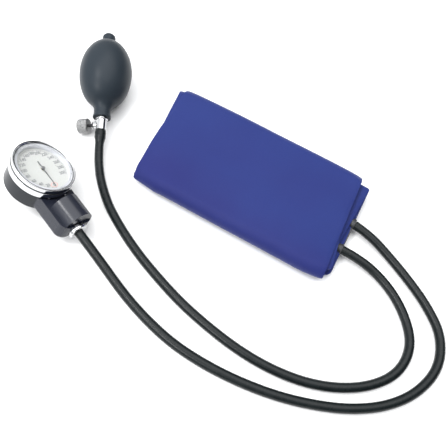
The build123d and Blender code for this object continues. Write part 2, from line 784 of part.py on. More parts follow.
# Bezel: polished ring over the case's mouth, lipped over the lens
lens_level = case_depth + gasket_thickness
with BuildPart() as bezel:
    with BuildSketch(gauge_frame.offset(bezel_start + rest_gap)):
        Circle(bezel_diameter / 2)
    extrude(amount=gauge_depth - bezel_start - rest_gap)
    outer_rim = bezel.edges().sort_by(gauge_line)[-1]
    fillet(outer_rim, bezel_rounding)
    with BuildSketch(gauge_frame.offset(bezel_start)):
        Circle(bezel_seat_diameter / 2 + slip_gap)
    extrude(amount=lens_level + lens_thickness - bezel_start, mode=Mode.SUBTRACT)
    with BuildSketch(gauge_frame.offset(bezel_start)):
        Circle(bezel_opening / 2)
    extrude(amount=gauge_depth - bezel_start, mode=Mode.SUBTRACT)
bezel.part.label = "bezel"
export_step(bezel.part, "parts/bezel.step")

with BuildPart() as lens_gasket:
    with BuildSketch(gauge_frame.offset(case_depth)):
        Circle(bezel_seat_diameter / 2)
        Circle(inner_radius, mode=Mode.SUBTRACT)
    extrude(amount=gasket_thickness)
lens_gasket.part.label = "lens_gasket"
export_step(lens_gasket.part, "parts/lens_gasket.step")

with BuildPart() as lens:
    with BuildSketch(gauge_frame.offset(lens_level)):
        Circle(bezel_seat_diameter / 2)
    extrude(amount=lens_thickness)
lens.part.label = "lens"
export_step(lens.part, "parts/lens.step")

# Dial plate, the ring that frames it, and its two screws
dial_top = dial_level + dial_thickness
foot_points = [(0, -dial_foot_spacing / 2), (0, dial_foot_spacing / 2)]
with BuildPart() as dial_plate:
    with BuildSketch(gauge_frame.offset(dial_level)):
        Circle(dial_diameter / 2)
        Circle(dial_hole / 2, mode=Mode.SUBTRACT)
        with Locations(*foot_points):
            Circle(small_screw_shank / 2 + slip_gap, mode=Mode.SUBTRACT)
    extrude(amount=dial_thickness)
dial_plate.part.label = "dial_plate"
export_step(dial_plate.part, "parts/dial_plate.step")

with BuildPart() as dial_ring:
    with BuildSketch(gauge_frame.offset(dial_top)):
        Circle(inner_radius - slip_gap)
        Circle(inner_radius - slip_gap - dial_ring_wall, mode=Mode.SUBTRACT)
    extrude(amount=lens_level - dial_top)
dial_ring.part.label = "dial_ring"
export_step(dial_ring.part, "parts/dial_ring.step")

with BuildPart() as dial_screws:
    with BuildSketch(gauge_frame.offset(dial_top)):
        with Locations(*foot_points):
            Circle(dial_screw_head / 2)
    extrude(amount=dial_screw_head_height)
    with BuildSketch(gauge_frame.offset(dial_top)):
        with Locations(*foot_points):
            Circle(small_screw_shank / 2)
    extrude(amount=top_plate_level - dial_top)
dial_screws.part.label = "dial_screws"
export_step(dial_screws.part, "parts/dial_screws.step")

# Air bar: brass bar on the case floor that feeds the capsule from the block
bar_start = capsule_offset - air_bar_width / 2
bar_end = inner_radius - air_bar_end_gap
with BuildPart() as air_bar:
    with BuildSketch(gauge_frame.offset(case_floor)):
        with Locations(((bar_end + bar_start) / 2, 0)):
            RectangleRounded(bar_end - bar_start, air_bar_width, air_bar_corner)
    extrude(amount=air_bar_thickness)
    with BuildSketch(stem_plane(bar_end - air_nipple_root, air_level)):
        Circle(air_nipple_diameter / 2 - slip_gap)
    extrude(amount=case_radius + air_nipple_length + air_nipple_root - bar_end - rest_gap)
    with BuildSketch(stem_plane(capsule_offset, air_level)):
        Circle(air_bore / 2)
    extrude(amount=case_diameter, mode=Mode.SUBTRACT)
    with BuildSketch(gauge_frame.offset(air_level)):
        with Locations((capsule_offset, 0)):
            Circle(air_cross_bore / 2)
    extrude(amount=air_bar_thickness, mode=Mode.SUBTRACT)
air_bar.part.label = "air_bar"
export_step(air_bar.part, "parts/air_bar.step")

# Capsule: two rippled bronze shells, the upper one free to lift round the lower one's wall
capsule_centre = gauge_frame.from_local_coords((capsule_offset, 0, capsule_level))
capsule_section = Plane(origin=capsule_centre, x_dir=gauge_frame.x_dir, z_dir=-gauge_frame.y_dir)
capsule_line = Axis(capsule_centre, dial_normal)
capsule_radius = capsule_diameter / 2


def ripple_points(level, first_radius, last_radius):
    """Zigzag from the first radius to the last, one ripple up and one down at each step."""
    points = []
    for step in range(2 * capsule_ripples + 1):
        share = step / (2 * capsule_ripples)
        height = level + (capsule_ripple if step % 2 else 0)
        points.append((first_radius + share * (last_radius - first_radius), height))
    return points


with BuildPart() as capsule_lower:
    with BuildSketch(capsule_section):
        outer = capsule_radius - capsule_shell - soft_gap
        wall_top = capsule_rim_level - soft_gap
        inside = ripple_points(capsule_shell, capsule_boss_diameter / 2, outer - capsule_rim_width)
        outside = [(x, y + capsule_shell) for x, y in reversed(inside)]
        with BuildLine():
            Polyline(*inside, (outer, capsule_shell), (outer, wall_top),
                     (outer - capsule_shell, wall_top), (outer - capsule_shell, 2 * capsule_shell),
                     *outside, (air_cross_bore / 2, 2 * capsule_shell), (air_cross_bore / 2, 0),
                     (capsule_boss_diameter / 2, 0), close=True)
        make_face()
    revolve(axis=capsule_line)
capsule_lower.part.label = "capsule_lower"
export_step(capsule_lower.part, "parts/capsule_lower.step")

with BuildPart() as capsule_upper:
    with BuildSketch(capsule_section):
        crown_radius = capsule_crown_diameter / 2
        under = ripple_points(capsule_rim_level, crown_radius, capsule_radius - capsule_rim_width)
        over = [(x, y + capsule_shell) for x, y in reversed(under)]
        with BuildLine():
            Polyline((0, capsule_rim_level), *under,
                     (capsule_radius - capsule_shell, capsule_rim_level),
                     (capsule_radius - capsule_shell, rest_gap),
                     (capsule_radius, rest_gap),
                     (capsule_radius, capsule_rim_level + capsule_shell), *over,
                     (crown_radius, capsule_height), (0, capsule_height), close=True)
        make_face()
    revolve(axis=capsule_line)
capsule_upper.part.label = "capsule_upper"
export_step(capsule_upper.part, "parts/capsule_upper.step")

# Push button on the capsule's crown, reaching the rocking shaft's arm
arm_underside = rocker_axis - rocker_arm_thickness / 2
tip_centre = arm_underside - contact_gap - button_tip_radius
with BuildPart() as push_button:
    with BuildSketch(gauge_frame.offset(crown_level)):
        with Locations((capsule_offset, 0)):
            Circle(button_pad_diameter / 2)
    extrude(amount=button_pad_thickness)
    with BuildSketch(gauge_frame.offset(crown_level)):
        with Locations((capsule_offset, 0)):
            Circle(button_tip_radius)
    extrude(amount=tip_centre - crown_level)
    with Locations(Plane(origin=gauge_frame.from_local_coords((capsule_offset, 0, tip_centre)),
                         x_dir=gauge_frame.x_dir, z_dir=gauge_frame.z_dir)):
        Sphere(button_tip_radius)
push_button.part.label = "push_button"
export_step(push_button.part, "parts/push_button.step")

# Movement plates, with ears for the rocking shaft and feet for the dial
pinion_radius = tooth_module * pinion_teeth / 2
sector_radius = tooth_module * sector_teeth / 2
gear_centres = pinion_radius + sector_radius
sector_x = rocker_x - pusher_thickness / 2 - tail_pin_diameter / 2 - contact_gap
sector_y = -sqrt(gear_centres**2 - sector_x**2)
pillar_points = [(pillar_circle_radius * cos(radians(angle)), pillar_circle_radius * sin(radians(angle)))
                 for angle in pillar_angles]
base_top = base_plate_level + plate_thickness
with BuildPart() as base_plate:
    with BuildSketch(gauge_frame.offset(base_plate_level)):
        Circle(base_plate_diameter / 2)
        with Locations((capsule_offset, 0)):
            Circle(button_tip_radius + button_hole_gap, mode=Mode.SUBTRACT)
        Circle(arbor_diameter / 2 + slip_gap, mode=Mode.SUBTRACT)
        with Locations((sector_x, sector_y)):
            Circle(sector_arbor_diameter / 2 + slip_gap, mode=Mode.SUBTRACT)
        with Locations(*post_points):
            Circle(small_screw_shank / 2 + slip_gap, mode=Mode.SUBTRACT)
    extrude(amount=plate_thickness)
    for ear_y in (ear_inner, ear_outer):
        with BuildSketch(rocker_plane(ear_y)):
            Rectangle(2 * ear_half_length, 2 * (rocker_axis - base_top))
        extrude(amount=-ear_thickness)
    with BuildSketch(rocker_plane(ear_outer + 2 * ear_thickness)):
        Circle(rocker_diameter / 2 + slip_gap)
    extrude(amount=ear_outer - ear_inner + 3 * ear_thickness, mode=Mode.SUBTRACT)
base_plate.part.label = "base_plate"
export_step(base_plate.part, "parts/base_plate.step")

with BuildPart() as top_plate:
    with BuildSketch(gauge_frame.offset(top_plate_level)):
        Circle(top_plate_diameter / 2)
        Circle(arbor_diameter / 2 + slip_gap, mode=Mode.SUBTRACT)
        with Locations((sector_x, sector_y)):
            Circle(sector_arbor_diameter / 2 + slip_gap, mode=Mode.SUBTRACT)
        with Locations((top_window_x, top_window_y)):
            Circle(top_window_diameter / 2, mode=Mode.SUBTRACT)
        with Locations(*pillar_points):
            Circle(small_screw_shank / 2 + slip_gap, mode=Mode.SUBTRACT)
    extrude(amount=plate_thickness)
    with BuildSketch(gauge_frame.offset(top_plate_level + plate_thickness)):
        with Locations(*foot_points):
            Circle(dial_foot_diameter / 2)
    extrude(amount=dial_level - top_plate_level - plate_thickness)
    with BuildSketch(gauge_frame.offset(top_plate_level)):
        with Locations(*foot_points):
            Circle(small_screw_shank / 2)
    extrude(amount=dial_level, mode=Mode.SUBTRACT)
top_plate.part.label = "top_plate"
export_step(top_plate.part, "parts/top_plate.step")

with BuildPart() as pillars:
    with BuildSketch(gauge_frame.offset(base_top)):
        with Locations(*pillar_points):
            Circle(pillar_diameter / 2)
    extrude(amount=top_plate_level - base_top)
pillars.part.label = "pillars"
export_step(pillars.part, "parts/pillars.step")

with BuildPart() as plate_screws:
    with BuildSketch(gauge_frame.offset(top_plate_level + plate_thickness)):
        with Locations(*pillar_points):
            Circle(small_screw_head / 2)
    extrude(amount=small_screw_head_height)
    with BuildSketch(gauge_frame.offset(top_plate_level + plate_thickness)):
        with Locations(*pillar_points):
            Circle(small_screw_shank / 2)
    extrude(amount=-plate_thickness)
plate_screws.part.label = "plate_screws"
export_step(plate_screws.part, "parts/plate_screws.step")

with BuildPart() as movement_screws:
    with BuildSketch(gauge_frame.offset(base_top)):
        with Locations(*post_points):
            Circle(small_screw_head / 2)
    extrude(amount=small_screw_head_height)
    with BuildSketch(gauge_frame.offset(base_top)):
        with Locations(*post_points):
            Circle(small_screw_shank / 2)
    extrude(amount=-plate_thickness - small_screw_depth)
movement_screws.part.label = "movement_screws"
export_step(movement_screws.part, "parts/movement_screws.step")

# Rocking shaft: its long arm rests on the button, its short arm pushes the sector's tail
pusher_y = sector_y + tail_radius
arm_length = capsule_offset - rocker_x + rocker_arm_overrun
shaft_start = ear_outer + ear_thickness
shaft_end = pusher_y - pusher_width / 2
with BuildPart() as rocking_shaft:
    with BuildSketch(rocker_plane(shaft_start)):
        Circle(rocker_diameter / 2)
    extrude(amount=shaft_start - shaft_end)
    with BuildSketch(rocker_plane(rocker_arm_width / 2)):
        with Locations((arm_length / 2, 0)):
            Rectangle(arm_length, rocker_arm_thickness)
    extrude(amount=rocker_arm_width)
    with BuildSketch(rocker_plane(pusher_y + pusher_width / 2)):
        with Locations((0, pusher_height / 2)):
            Rectangle(pusher_thickness, pusher_height)
    extrude(amount=pusher_width)
rocking_shaft.part.label = "rocking_shaft"
export_step(rocking_shaft.part, "parts/rocking_shaft.step")


def tooth_points(radius, centre_angle, inward=False):
    """Root, flank and tip of one straight-flanked tooth, as four points round its centre line."""
    slope = tan(radians(pressure_angle))
    widths = ((radius - tooth_dedendum, tooth_half_width + tooth_dedendum * slope),
              (radius + tooth_addendum, tooth_half_width - tooth_addendum * slope))
    (root, root_half), (tip, tip_half) = widths
    corners = ((root, -root_half), (tip, -tip_half), (tip, tip_half), (root, root_half))
    return [(r * cos(centre_angle + half / r), r * sin(centre_angle + half / r)) for r, half in corners]


# Pinion and arbor: turns the pointer, ten times as far as the sector
to_sector = atan2(sector_y, sector_x)
with BuildPart() as pinion_arbor:
    with BuildSketch(gauge_frame.offset(sector_level - pinion_extra)):
        outline = []
        for tooth in range(pinion_teeth):
            outline += tooth_points(pinion_radius, to_sector + 2 * pi * tooth / pinion_teeth)
        with BuildLine():
            Polyline(*outline, close=True)
        make_face()
    extrude(amount=sector_thickness + 2 * pinion_extra)
    with BuildSketch(gauge_frame.offset(base_plate_level + rest_gap)):
        Circle(arbor_diameter / 2)
    extrude(amount=pointer_level + pointer_thickness - base_plate_level - rest_gap)
    with BuildSketch(gauge_frame.offset(hairspring_level - collet_height / 4)):
        Circle(collet_diameter / 2)
    extrude(amount=collet_height)
pinion_arbor.part.label = "pinion_arbor"
export_step(pinion_arbor.part, "parts/pinion_arbor.step")

# Sector: toothed arc on a web, with a pin on its tail that the rocking shaft pushes
to_pinion = atan2(-sector_y, -sector_x)
tooth_step = 2 * pi / sector_teeth
teeth_before = sector_margin_teeth
teeth_after = int(sector_swing / 360 * sector_teeth) + sector_margin_teeth
sector_plane = Plane(origin=gauge_frame.from_local_coords((sector_x, sector_y, sector_level)),
                     x_dir=gauge_frame.x_dir, z_dir=gauge_frame.z_dir)
with BuildPart() as sector_gear:
    with BuildSketch(sector_plane):
        outline = []
        for tooth in range(-teeth_after, teeth_before):
            outline += tooth_points(sector_radius, to_pinion + (tooth + 0.5) * tooth_step)
        rim_radius = sector_radius - sector_rim
        low_angle = to_pinion - teeth_after * tooth_step
        high_angle = to_pinion + teeth_before * tooth_step
        root_angles = (high_angle + radians(web_root_spread), low_angle - radians(web_root_spread))
        web = [(web_root * cos(angle), web_root * sin(angle)) for angle in root_angles]
        with BuildLine():
            Polyline(*outline, *web, close=True)
        make_face()
        middle_angle = (low_angle + high_angle) / 2
        window_radius = web_window_place * rim_radius
        with Locations((window_radius * cos(middle_angle), window_radius * sin(middle_angle))):
            Circle(web_window_diameter / 2, mode=Mode.SUBTRACT)
        Circle(sector_hub / 2)
        with Locations((0, tail_radius / 2)):
            Rectangle(tail_width, tail_radius)
        with Locations((0, tail_radius)):
            Circle(tail_width / 2)
    extrude(amount=sector_thickness)
    with BuildSketch(sector_plane):
        with Locations((0, tail_radius)):
            Circle(tail_pin_diameter / 2)
    extrude(amount=-tail_pin_length)
    with BuildSketch(sector_plane.offset(base_plate_level + rest_gap - sector_level)):
        Circle(sector_arbor_diameter / 2)
    extrude(amount=top_plate_level + plate_thickness - base_plate_level - 2 * rest_gap)
sector_gear.part.label = "sector_gear"
export_step(sector_gear.part, "parts/sector_gear.step")

# Hairspring: flat spiral of half circles that takes up the play in the gears
with BuildPart() as hairspring:
    with BuildSketch(gauge_frame.offset(hairspring_level)):
        with BuildLine():
            spiral_x = collet_diameter / 2 + hairspring_thickness / 2 + rest_gap
            side = 1
            for half_turn in range(hairspring_half_turns):
                diameter = 2 * (collet_diameter / 2 + hairspring_thickness) + (half_turn + 0.5) * hairspring_pitch
                next_x = spiral_x - side * diameter
                ThreePointArc((spiral_x, 0), ((spiral_x + next_x) / 2, side * diameter / 2), (next_x, 0))
                spiral_x = next_x
                side = -side
        trace(line_width=hairspring_thickness)
    extrude(amount=hairspring_height)
hairspring.part.label = "hairspring"
export_step(hairspring.part, "parts/hairspring.step")

stud_x = spiral_x + (1 if spiral_x > 0 else -1) * (stud_diameter / 2 + hairspring_thickness / 2)
with BuildPart() as hairspring_stud:
    with BuildSketch(gauge_frame.offset(base_top)):
        with Locations((stud_x, 0)):
            Circle(stud_diameter / 2)
    extrude(amount=hairspring_level + hairspring_height - base_top)
hairspring_stud.part.label = "hairspring_stud"
export_step(hairspring_stud.part, "parts/hairspring_stud.step")

# Pointer: thin blade on a pressed hub, at zero with its tip towards the stem
with BuildPart() as pointer:
    with BuildSketch(gauge_frame.offset(pointer_level)):
        with BuildLine():
            Polyline((-pointer_tail, -pointer_width / 2), (0, -pointer_width / 2),
                     (pointer_reach, -pointer_tip_width / 2), (pointer_reach, pointer_tip_width / 2),
                     (0, pointer_width / 2), (-pointer_tail, pointer_width / 2), close=True)
        make_face()
        Circle(pointer_hub_diameter / 2)
        Circle(arbor_diameter / 2, mode=Mode.SUBTRACT)
    extrude(amount=pointer_thickness)
    with BuildSketch(gauge_frame.offset(pointer_level + pointer_thickness)):
        Circle(pointer_hub_diameter / 2)
    extrude(amount=pointer_hub_height - pointer_thickness)
    with BuildSketch(gauge_frame.offset(dial_top + pointer_collar_gap)):
        Circle(pointer_collar_diameter / 2)
        Circle(arbor_diameter / 2, mode=Mode.SUBTRACT)
    extrude(amount=pointer_level - dial_top - pointer_collar_gap)
pointer.part.label = "pointer"
export_step(pointer.part, "parts/pointer.step")

# Hoses: each lies on the table from its fitting, round the front, and back into the cuff
table_line = hose_radius
bulb_hose_start = bulb_frame.from_local_coords((0, 0, -sleeve_end))
bulb_hose_points = [
    tuple(bulb_hose_start), tuple(bulb_hose_start - bulb_axis * bulb_hose_lead),
    (-82.0, -66.0, table_line), (-62.0, -78.5, table_line), (-40.0, -89.5, table_line),
    (-18.0, -98.0, table_line), (5.0, -105.5, table_line), (28.0, -110.5, table_line),
    (52.0, -114.0, table_line), (76.0, -114.5, table_line), (100.0, -111.0, table_line),
    (121.0, -103.0, table_line), (138.5, -91.0, table_line), (150.5, -75.5, table_line),
    (153.5, -58.5, table_line), (147.5, -41.5, table_line), (133.0, -28.5, table_line),
    (116.5, -18.5, table_line), (port_x + port_lead, -port_spacing / 2, port_level),
    (port_x, -port_spacing / 2, port_level)]
gauge_hose_start = gauge_frame.from_local_coords((socket_end, 0, hose_axis))
gauge_hose_points = [
    tuple(gauge_hose_start), tuple(gauge_hose_start + stem_direction * gauge_hose_lead),
    (-30.5, -120.0, table_line), (-7.5, -127.5, table_line), (16.0, -132.5, table_line),
    (40.0, -133.5, table_line), (63.0, -132.0, table_line), (87.0, -128.0, table_line),
    (109.0, -121.5, table_line), (131.5, -112.0, table_line), (152.0, -98.0, table_line),
    (167.0, -79.5, table_line), (174.5, -56.0, table_line), (168.5, -33.5, table_line),
    (149.5, -14.5, table_line), (131.0, -4.5, table_line), (115.0, 4.0, table_line),
    (port_x + port_lead, port_spacing / 2, port_level), (port_x, port_spacing / 2, port_level)]


def bend_radii(points):
    """Radius at each inner point: 0.45 of the shorter run over the tangent of half the turn."""
    radii = []
    for before, here, after in zip(points, points[1:], points[2:]):
        run_in = Vector(*here) - Vector(*before)
        run_out = Vector(*after) - Vector(*here)
        half_turn_angle = radians(run_in.get_angle(run_out)) / 2
        radii.append(0.45 * min(run_in.length, run_out.length) / tan(half_turn_angle))
    return radii


def report_hose(name, solid, path, radii):
    """Print the radii, and the tube's volume beside its section times its length."""
    section = pi * (hose_radius**2 - (hose_bore / 2) ** 2)
    print(name, "length", round(path.length, 1), "radii", [round(radius) for radius in radii])
    print(name, "volume", round(solid.volume), "section times length", round(section * path.length))


bulb_hose_radii = bend_radii(bulb_hose_points)
with BuildPart() as bulb_hose:
    with BuildLine() as bulb_hose_line:
        FilletPolyline(*bulb_hose_points, radius=bulb_hose_radii)
    with BuildSketch(Plane(origin=bulb_hose_start, z_dir=-bulb_axis)):
        Circle(hose_radius)
        Circle(hose_bore / 2, mode=Mode.SUBTRACT)
    sweep()
bulb_hose.part.label = "bulb_hose"
export_step(bulb_hose.part, "parts/bulb_hose.step")
report_hose("bulb_hose", bulb_hose.part, bulb_hose_line.wire(), bulb_hose_radii)

gauge_hose_radii = bend_radii(gauge_hose_points)
with BuildPart() as gauge_hose:
    with BuildLine() as gauge_hose_line:
        FilletPolyline(*gauge_hose_points, radius=gauge_hose_radii)
    with BuildSketch(Plane(origin=gauge_hose_start, z_dir=stem_direction)):
        Circle(hose_radius)
        Circle(hose_bore / 2, mode=Mode.SUBTRACT)
    sweep()
gauge_hose.part.label = "gauge_hose"
export_step(gauge_hose.part, "parts/gauge_hose.step")
report_hose("gauge_hose", gauge_hose.part, gauge_hose_line.wire(), gauge_hose_radii)
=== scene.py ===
"""Looks for the aneroid sphygmomanometer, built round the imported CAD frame. Lengths are in metres."""

import bmesh
import bpy
import numpy as np
from mathutils import Matrix


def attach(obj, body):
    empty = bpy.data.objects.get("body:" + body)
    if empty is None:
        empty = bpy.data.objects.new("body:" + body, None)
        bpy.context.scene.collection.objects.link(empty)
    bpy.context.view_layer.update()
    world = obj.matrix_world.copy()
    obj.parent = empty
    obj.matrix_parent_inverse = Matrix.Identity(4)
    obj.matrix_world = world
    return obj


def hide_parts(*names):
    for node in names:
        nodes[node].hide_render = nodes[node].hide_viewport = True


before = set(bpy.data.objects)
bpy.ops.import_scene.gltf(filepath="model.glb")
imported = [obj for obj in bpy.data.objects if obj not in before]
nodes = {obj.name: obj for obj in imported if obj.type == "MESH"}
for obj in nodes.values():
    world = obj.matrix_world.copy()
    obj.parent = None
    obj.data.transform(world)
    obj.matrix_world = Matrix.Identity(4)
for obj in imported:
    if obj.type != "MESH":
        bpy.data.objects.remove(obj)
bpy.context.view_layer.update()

# STUDIO
# A pale table top under a broad light overhead, with two smaller ones on the left of the camera.
# The surroundings light it from above and the left and are dark elsewhere, so that rubber and chrome
# get form, but the camera itself sees them as one pale backdrop.


def add_node(tree, kind, inputs=(), **settings):
    """New shader node with the settings given, and its inputs set or linked in the order given."""
    made = tree.nodes.new(kind)
    for key, value in settings.items():
        setattr(made, key, value)
    for key, value in dict(inputs).items():
        if isinstance(value, bpy.types.NodeSocket):
            tree.links.new(value, made.inputs[key])
        else:
            made.inputs[key].default_value = value
    return made


def new_material(name):
    """Material, its node tree, which holds only an output and a Principled shader, and that shader."""
    made = bpy.data.materials.new(name)
    made.use_nodes = True
    tree = made.node_tree
    return made, tree, tree.nodes["Principled BSDF"]


def linked(name, data):
    """Object that holds the mesh, curve, lamp or camera given, in the scene."""
    made = bpy.data.objects.new(name, data)
    scene.collection.objects.link(made)
    return made


scene = bpy.context.scene
scene.view_settings.view_transform = "Standard"
floor_half = 2.5
floor_painted_lit_to = 0.42
floor_painted_dim_from = 0.95
floor_corners = [(-floor_half, -floor_half, 0), (floor_half, -floor_half, 0),
                 (floor_half, floor_half, 0), (-floor_half, floor_half, 0)]
floor_mesh = bpy.data.meshes.new("table_top")
floor_mesh.from_pydata(floor_corners, [], [(0, 1, 2, 3)])
floor = linked("table_top", floor_mesh)
floor_material, floor_tree, floor_shader = new_material("table_top")
# The table top's colour is painted pale near the set and darker further out: painted shade for light
# falling off, which the chrome reflects.
floor_place = add_node(floor_tree, "ShaderNodeTexCoord")
floor_reach = add_node(floor_tree, "ShaderNodeVectorMath", {0: floor_place.outputs["Object"]},
                       operation="LENGTH")
floor_painted_falloff = add_node(floor_tree, "ShaderNodeMapRange",
                      {"Value": floor_reach.outputs["Value"], "From Min": floor_painted_lit_to,
                       "From Max": floor_painted_dim_from, "To Min": 0.96, "To Max": 0.5},
                      interpolation_type="SMOOTHSTEP")
floor_tree.links.new(floor_painted_falloff.outputs[0], floor_shader.inputs["Base Color"])
floor_shader.inputs["Roughness"].default_value = 0.9
floor_shader.inputs["Specular IOR Level"].default_value = 0.1
floor_mesh.materials.append(floor_material)

world = bpy.data.worlds.new("studio")
world.use_nodes = True
scene.world = world
world_tree = world.node_tree
palest_side = (-0.5, -0.1, 0.86)
darkest_strength = 0.04
palest_strength = 1.25
backdrop_strength = 0.85
surround = add_node(world_tree, "ShaderNodeTexCoord")
towards_light = add_node(world_tree, "ShaderNodeVectorMath",
                         {0: surround.outputs["Generated"], 1: palest_side}, operation="DOT_PRODUCT")
paleness = add_node(world_tree, "ShaderNodeMapRange",
                    {"Value": towards_light.outputs["Value"], "From Min": -0.1, "From Max": 0.95,
                     "To Min": darkest_strength, "To Max": palest_strength},
                    interpolation_type="SMOOTHSTEP")
seen_by = add_node(world_tree, "ShaderNodeLightPath")
backdrop = add_node(world_tree, "ShaderNodeMix",
                    {0: seen_by.outputs["Is Camera Ray"], 2: paleness.outputs[0], 3: backdrop_strength})
world_tree.links.new(backdrop.outputs[0], world_tree.nodes["Background"].inputs["Strength"])
world_tree.nodes["Background"].inputs["Color"].default_value = (0.97, 0.985, 1.0, 1.0)


def placed(thing, place, side, up, back):
    """Object that holds a lamp or camera at a place, with its X, Y and Z axes along side, up and back."""
    turn = np.eye(4)
    turn[:3, :3] = np.column_stack((side, up, back))
    turn[:3, 3] = place
    made = linked(thing.name, thing)
    made.matrix_world = Matrix(turn.tolist())
    return made


lamp_aim = np.array((0.0, -0.03, 0.0))
for lamp_name, lamp_place, lamp_width, lamp_power in (
        ("front_light", (-0.34, -0.95, 0.85), 0.4, 6.4),
        ("key_light", (-0.535, -0.387, 1.09), 0.21, 4.8),
        ("top_light", (0.05, 0.25, 1.3), 1.5, 16.0)):
    lamp = bpy.data.lights.new(lamp_name, "AREA")
    lamp.shape = "SQUARE"
    lamp.size = lamp_width
    lamp.energy = lamp_power
    direction = lamp_aim - np.array(lamp_place)
    direction /= np.linalg.norm(direction)
    lamp_side = np.cross((0, 0, 1.0), -direction)
    lamp_side /= np.linalg.norm(lamp_side)
    placed(lamp, lamp_place, lamp_side, np.cross(-direction, lamp_side), -direction)

camera_place = (0.06838, -0.2388, 0.37204)
camera_side = (0.86841, 0.48483, 0.10396)
camera_up = (-0.4691, 0.73536, 0.48907)
camera_back = (0.16067, -0.47348, 0.86603)
camera_data = bpy.data.cameras.new("photo_view")
camera_data.lens = 47.44
camera_data.sensor_width = 36.0
camera_data.clip_start = 0.02
scene.camera = placed(camera_data, camera_place, camera_side, camera_up, camera_back)

# CUFF
# One strip of woven nylon, hemmed and folded flat into six runs, of which the first two hold the bladder.
# The layers don't lie quite true, so corners of the inner ones show past the outer one at both ends.
cuff_length = 0.155
cuff_width = 0.0965
cuff_middle_y = 0.003
cloth_thickness = 0.0015
pocket_thickness = 0.0026
layer_gap = 0.0012
thread_pitch = 0.00045
hem_roll = 0.0012
table_clearance = 0.00002
inner_end_short = 0.006
outer_end_short = 0.012
run_points = 34
fold_points = 18
columns = 96


def surface(name, grid, close_rows=False, close_columns=False, uv=None, sharp=40.0):
    """Mesh over a grid of points: each four neighbours make one face, and a closed direction joins
    its last points to its first. Points that fall together are merged and faces turned outwards."""
    rows, columns = grid.shape[:2]
    index = np.arange(rows * columns).reshape(rows, columns)
    if close_rows:
        index = np.vstack((index, index[:1]))
    if close_columns:
        index = np.hstack((index, index[:, :1]))
    quads = np.stack((index[:-1, :-1], index[1:, :-1], index[1:, 1:], index[:-1, 1:]), -1)
    mesh = bpy.data.meshes.new(name)
    mesh.from_pydata(grid.reshape(-1, 3).tolist(), [], quads.reshape(-1, 4).tolist())
    if uv is not None:
        layer = mesh.uv_layers.new(name="cloth")
        layer.data.foreach_set("uv", uv.reshape(-1, 2)[quads.reshape(-1)].astype(np.float32).ravel())
    seal(mesh, sharp)
    return linked(name, mesh)


def seal(mesh, sharp):
    """Merge doubles, turn faces outwards and shade smooth but for edges sharper than the angle."""
    shape = bmesh.new()
    shape.from_mesh(mesh)
    bmesh.ops.remove_doubles(shape, verts=shape.verts, dist=2e-6)
    bmesh.ops.recalc_face_normals(shape, faces=shape.faces)
    shape.to_mesh(mesh)
    shape.free()
    mesh.shade_smooth()
    mesh.set_sharp_from_angle(angle=np.radians(sharp))


# Runs in their order from the table up, with the thicker pocket runs 1 and 0 in the middle
stack_order = (5, 3, 1, 0, 2, 4)
run_level = np.zeros(len(stack_order))
next_level = 0.0
for run in stack_order:
    run_thickness = pocket_thickness if run < 2 else cloth_thickness
    run_level[run] = next_level + run_thickness / 2
    next_level += run_thickness + layer_gap
cuff_thickness = next_level - layer_gap
fold_y = (cuff_width - cuff_thickness) / 2

# Line of the strip in the roll's end view: straight runs, and a half circle at each fold
strip_y, strip_z, strip_half, fold_reach, fold_sine = [], [], [], [], []
for run in range(len(stack_order)):
    side = 1 if run % 2 == 0 else -1
    start = -side * fold_y
    stop = side * fold_y
    if run == 0:
        start += inner_end_short
    if run == len(stack_order) - 1:
        stop += outer_end_short
    share = np.linspace(0, 1, run_points)
    strip_y.append(start + (stop - start) * share)
    strip_z.append(np.full(run_points, run_level[run]))
    strip_half.append(np.full(run_points, (pocket_thickness if run < 2 else cloth_thickness) / 2))
    fold_reach.append(np.zeros(run_points))
    fold_sine.append(np.zeros(run_points))
    if run < len(stack_order) - 1:
        turn_angle = np.linspace(0, np.pi, fold_points + 2)[1:-1]
        fold_level = (run_level[run] + run_level[run + 1]) / 2
        fold_radius = (run_level[run] - run_level[run + 1]) / 2
        strip_y.append(np.full(fold_points, stop))
        fold_reach.append(np.full(fold_points, side * abs(fold_radius)))
        fold_sine.append(np.sin(turn_angle))
        strip_z.append(fold_level + fold_radius * np.cos(turn_angle))
        next_half = (pocket_thickness if run < 1 else cloth_thickness) / 2
        strip_half.append(np.linspace(strip_half[-1][-1], next_half, fold_points))
strip_y = np.concatenate(strip_y) + cuff_middle_y
fold_reach = np.concatenate(fold_reach)
fold_sine = np.concatenate(fold_sine)
strip_z = np.concatenate(strip_z)
strip_half = np.concatenate(strip_half)
strip_step = np.hypot(np.diff(strip_y + fold_reach * fold_sine), np.diff(strip_z))
strip_s = np.concatenate(((0,), np.cumsum(strip_step)))
strip_length = strip_s[-1]

# How far to the right of true the strip lies at its inner end, at the middle of each fold and at its
# outer end, with a point on either side of the second fold, whose front corner is cut back
fold_middle = run_points + fold_points // 2
fold_count = len(stack_order) - 1
fold_at = [strip_s[fold_middle + (run_points + fold_points) * fold] for fold in range(fold_count)]
fold_s = np.array([0.0] + fold_at + [strip_length])
fold_shift = np.array([0.001, 0.0035, 0.0010, -0.0105, 0.0025, -0.0055, -0.001])
corner_cut = 0.0085
fold_s = np.insert(fold_s, (2, 3), (fold_s[2] - corner_cut, fold_s[2] + corner_cut))
fold_shift = np.insert(fold_shift, (2, 3), (0.0062, 0.0050))

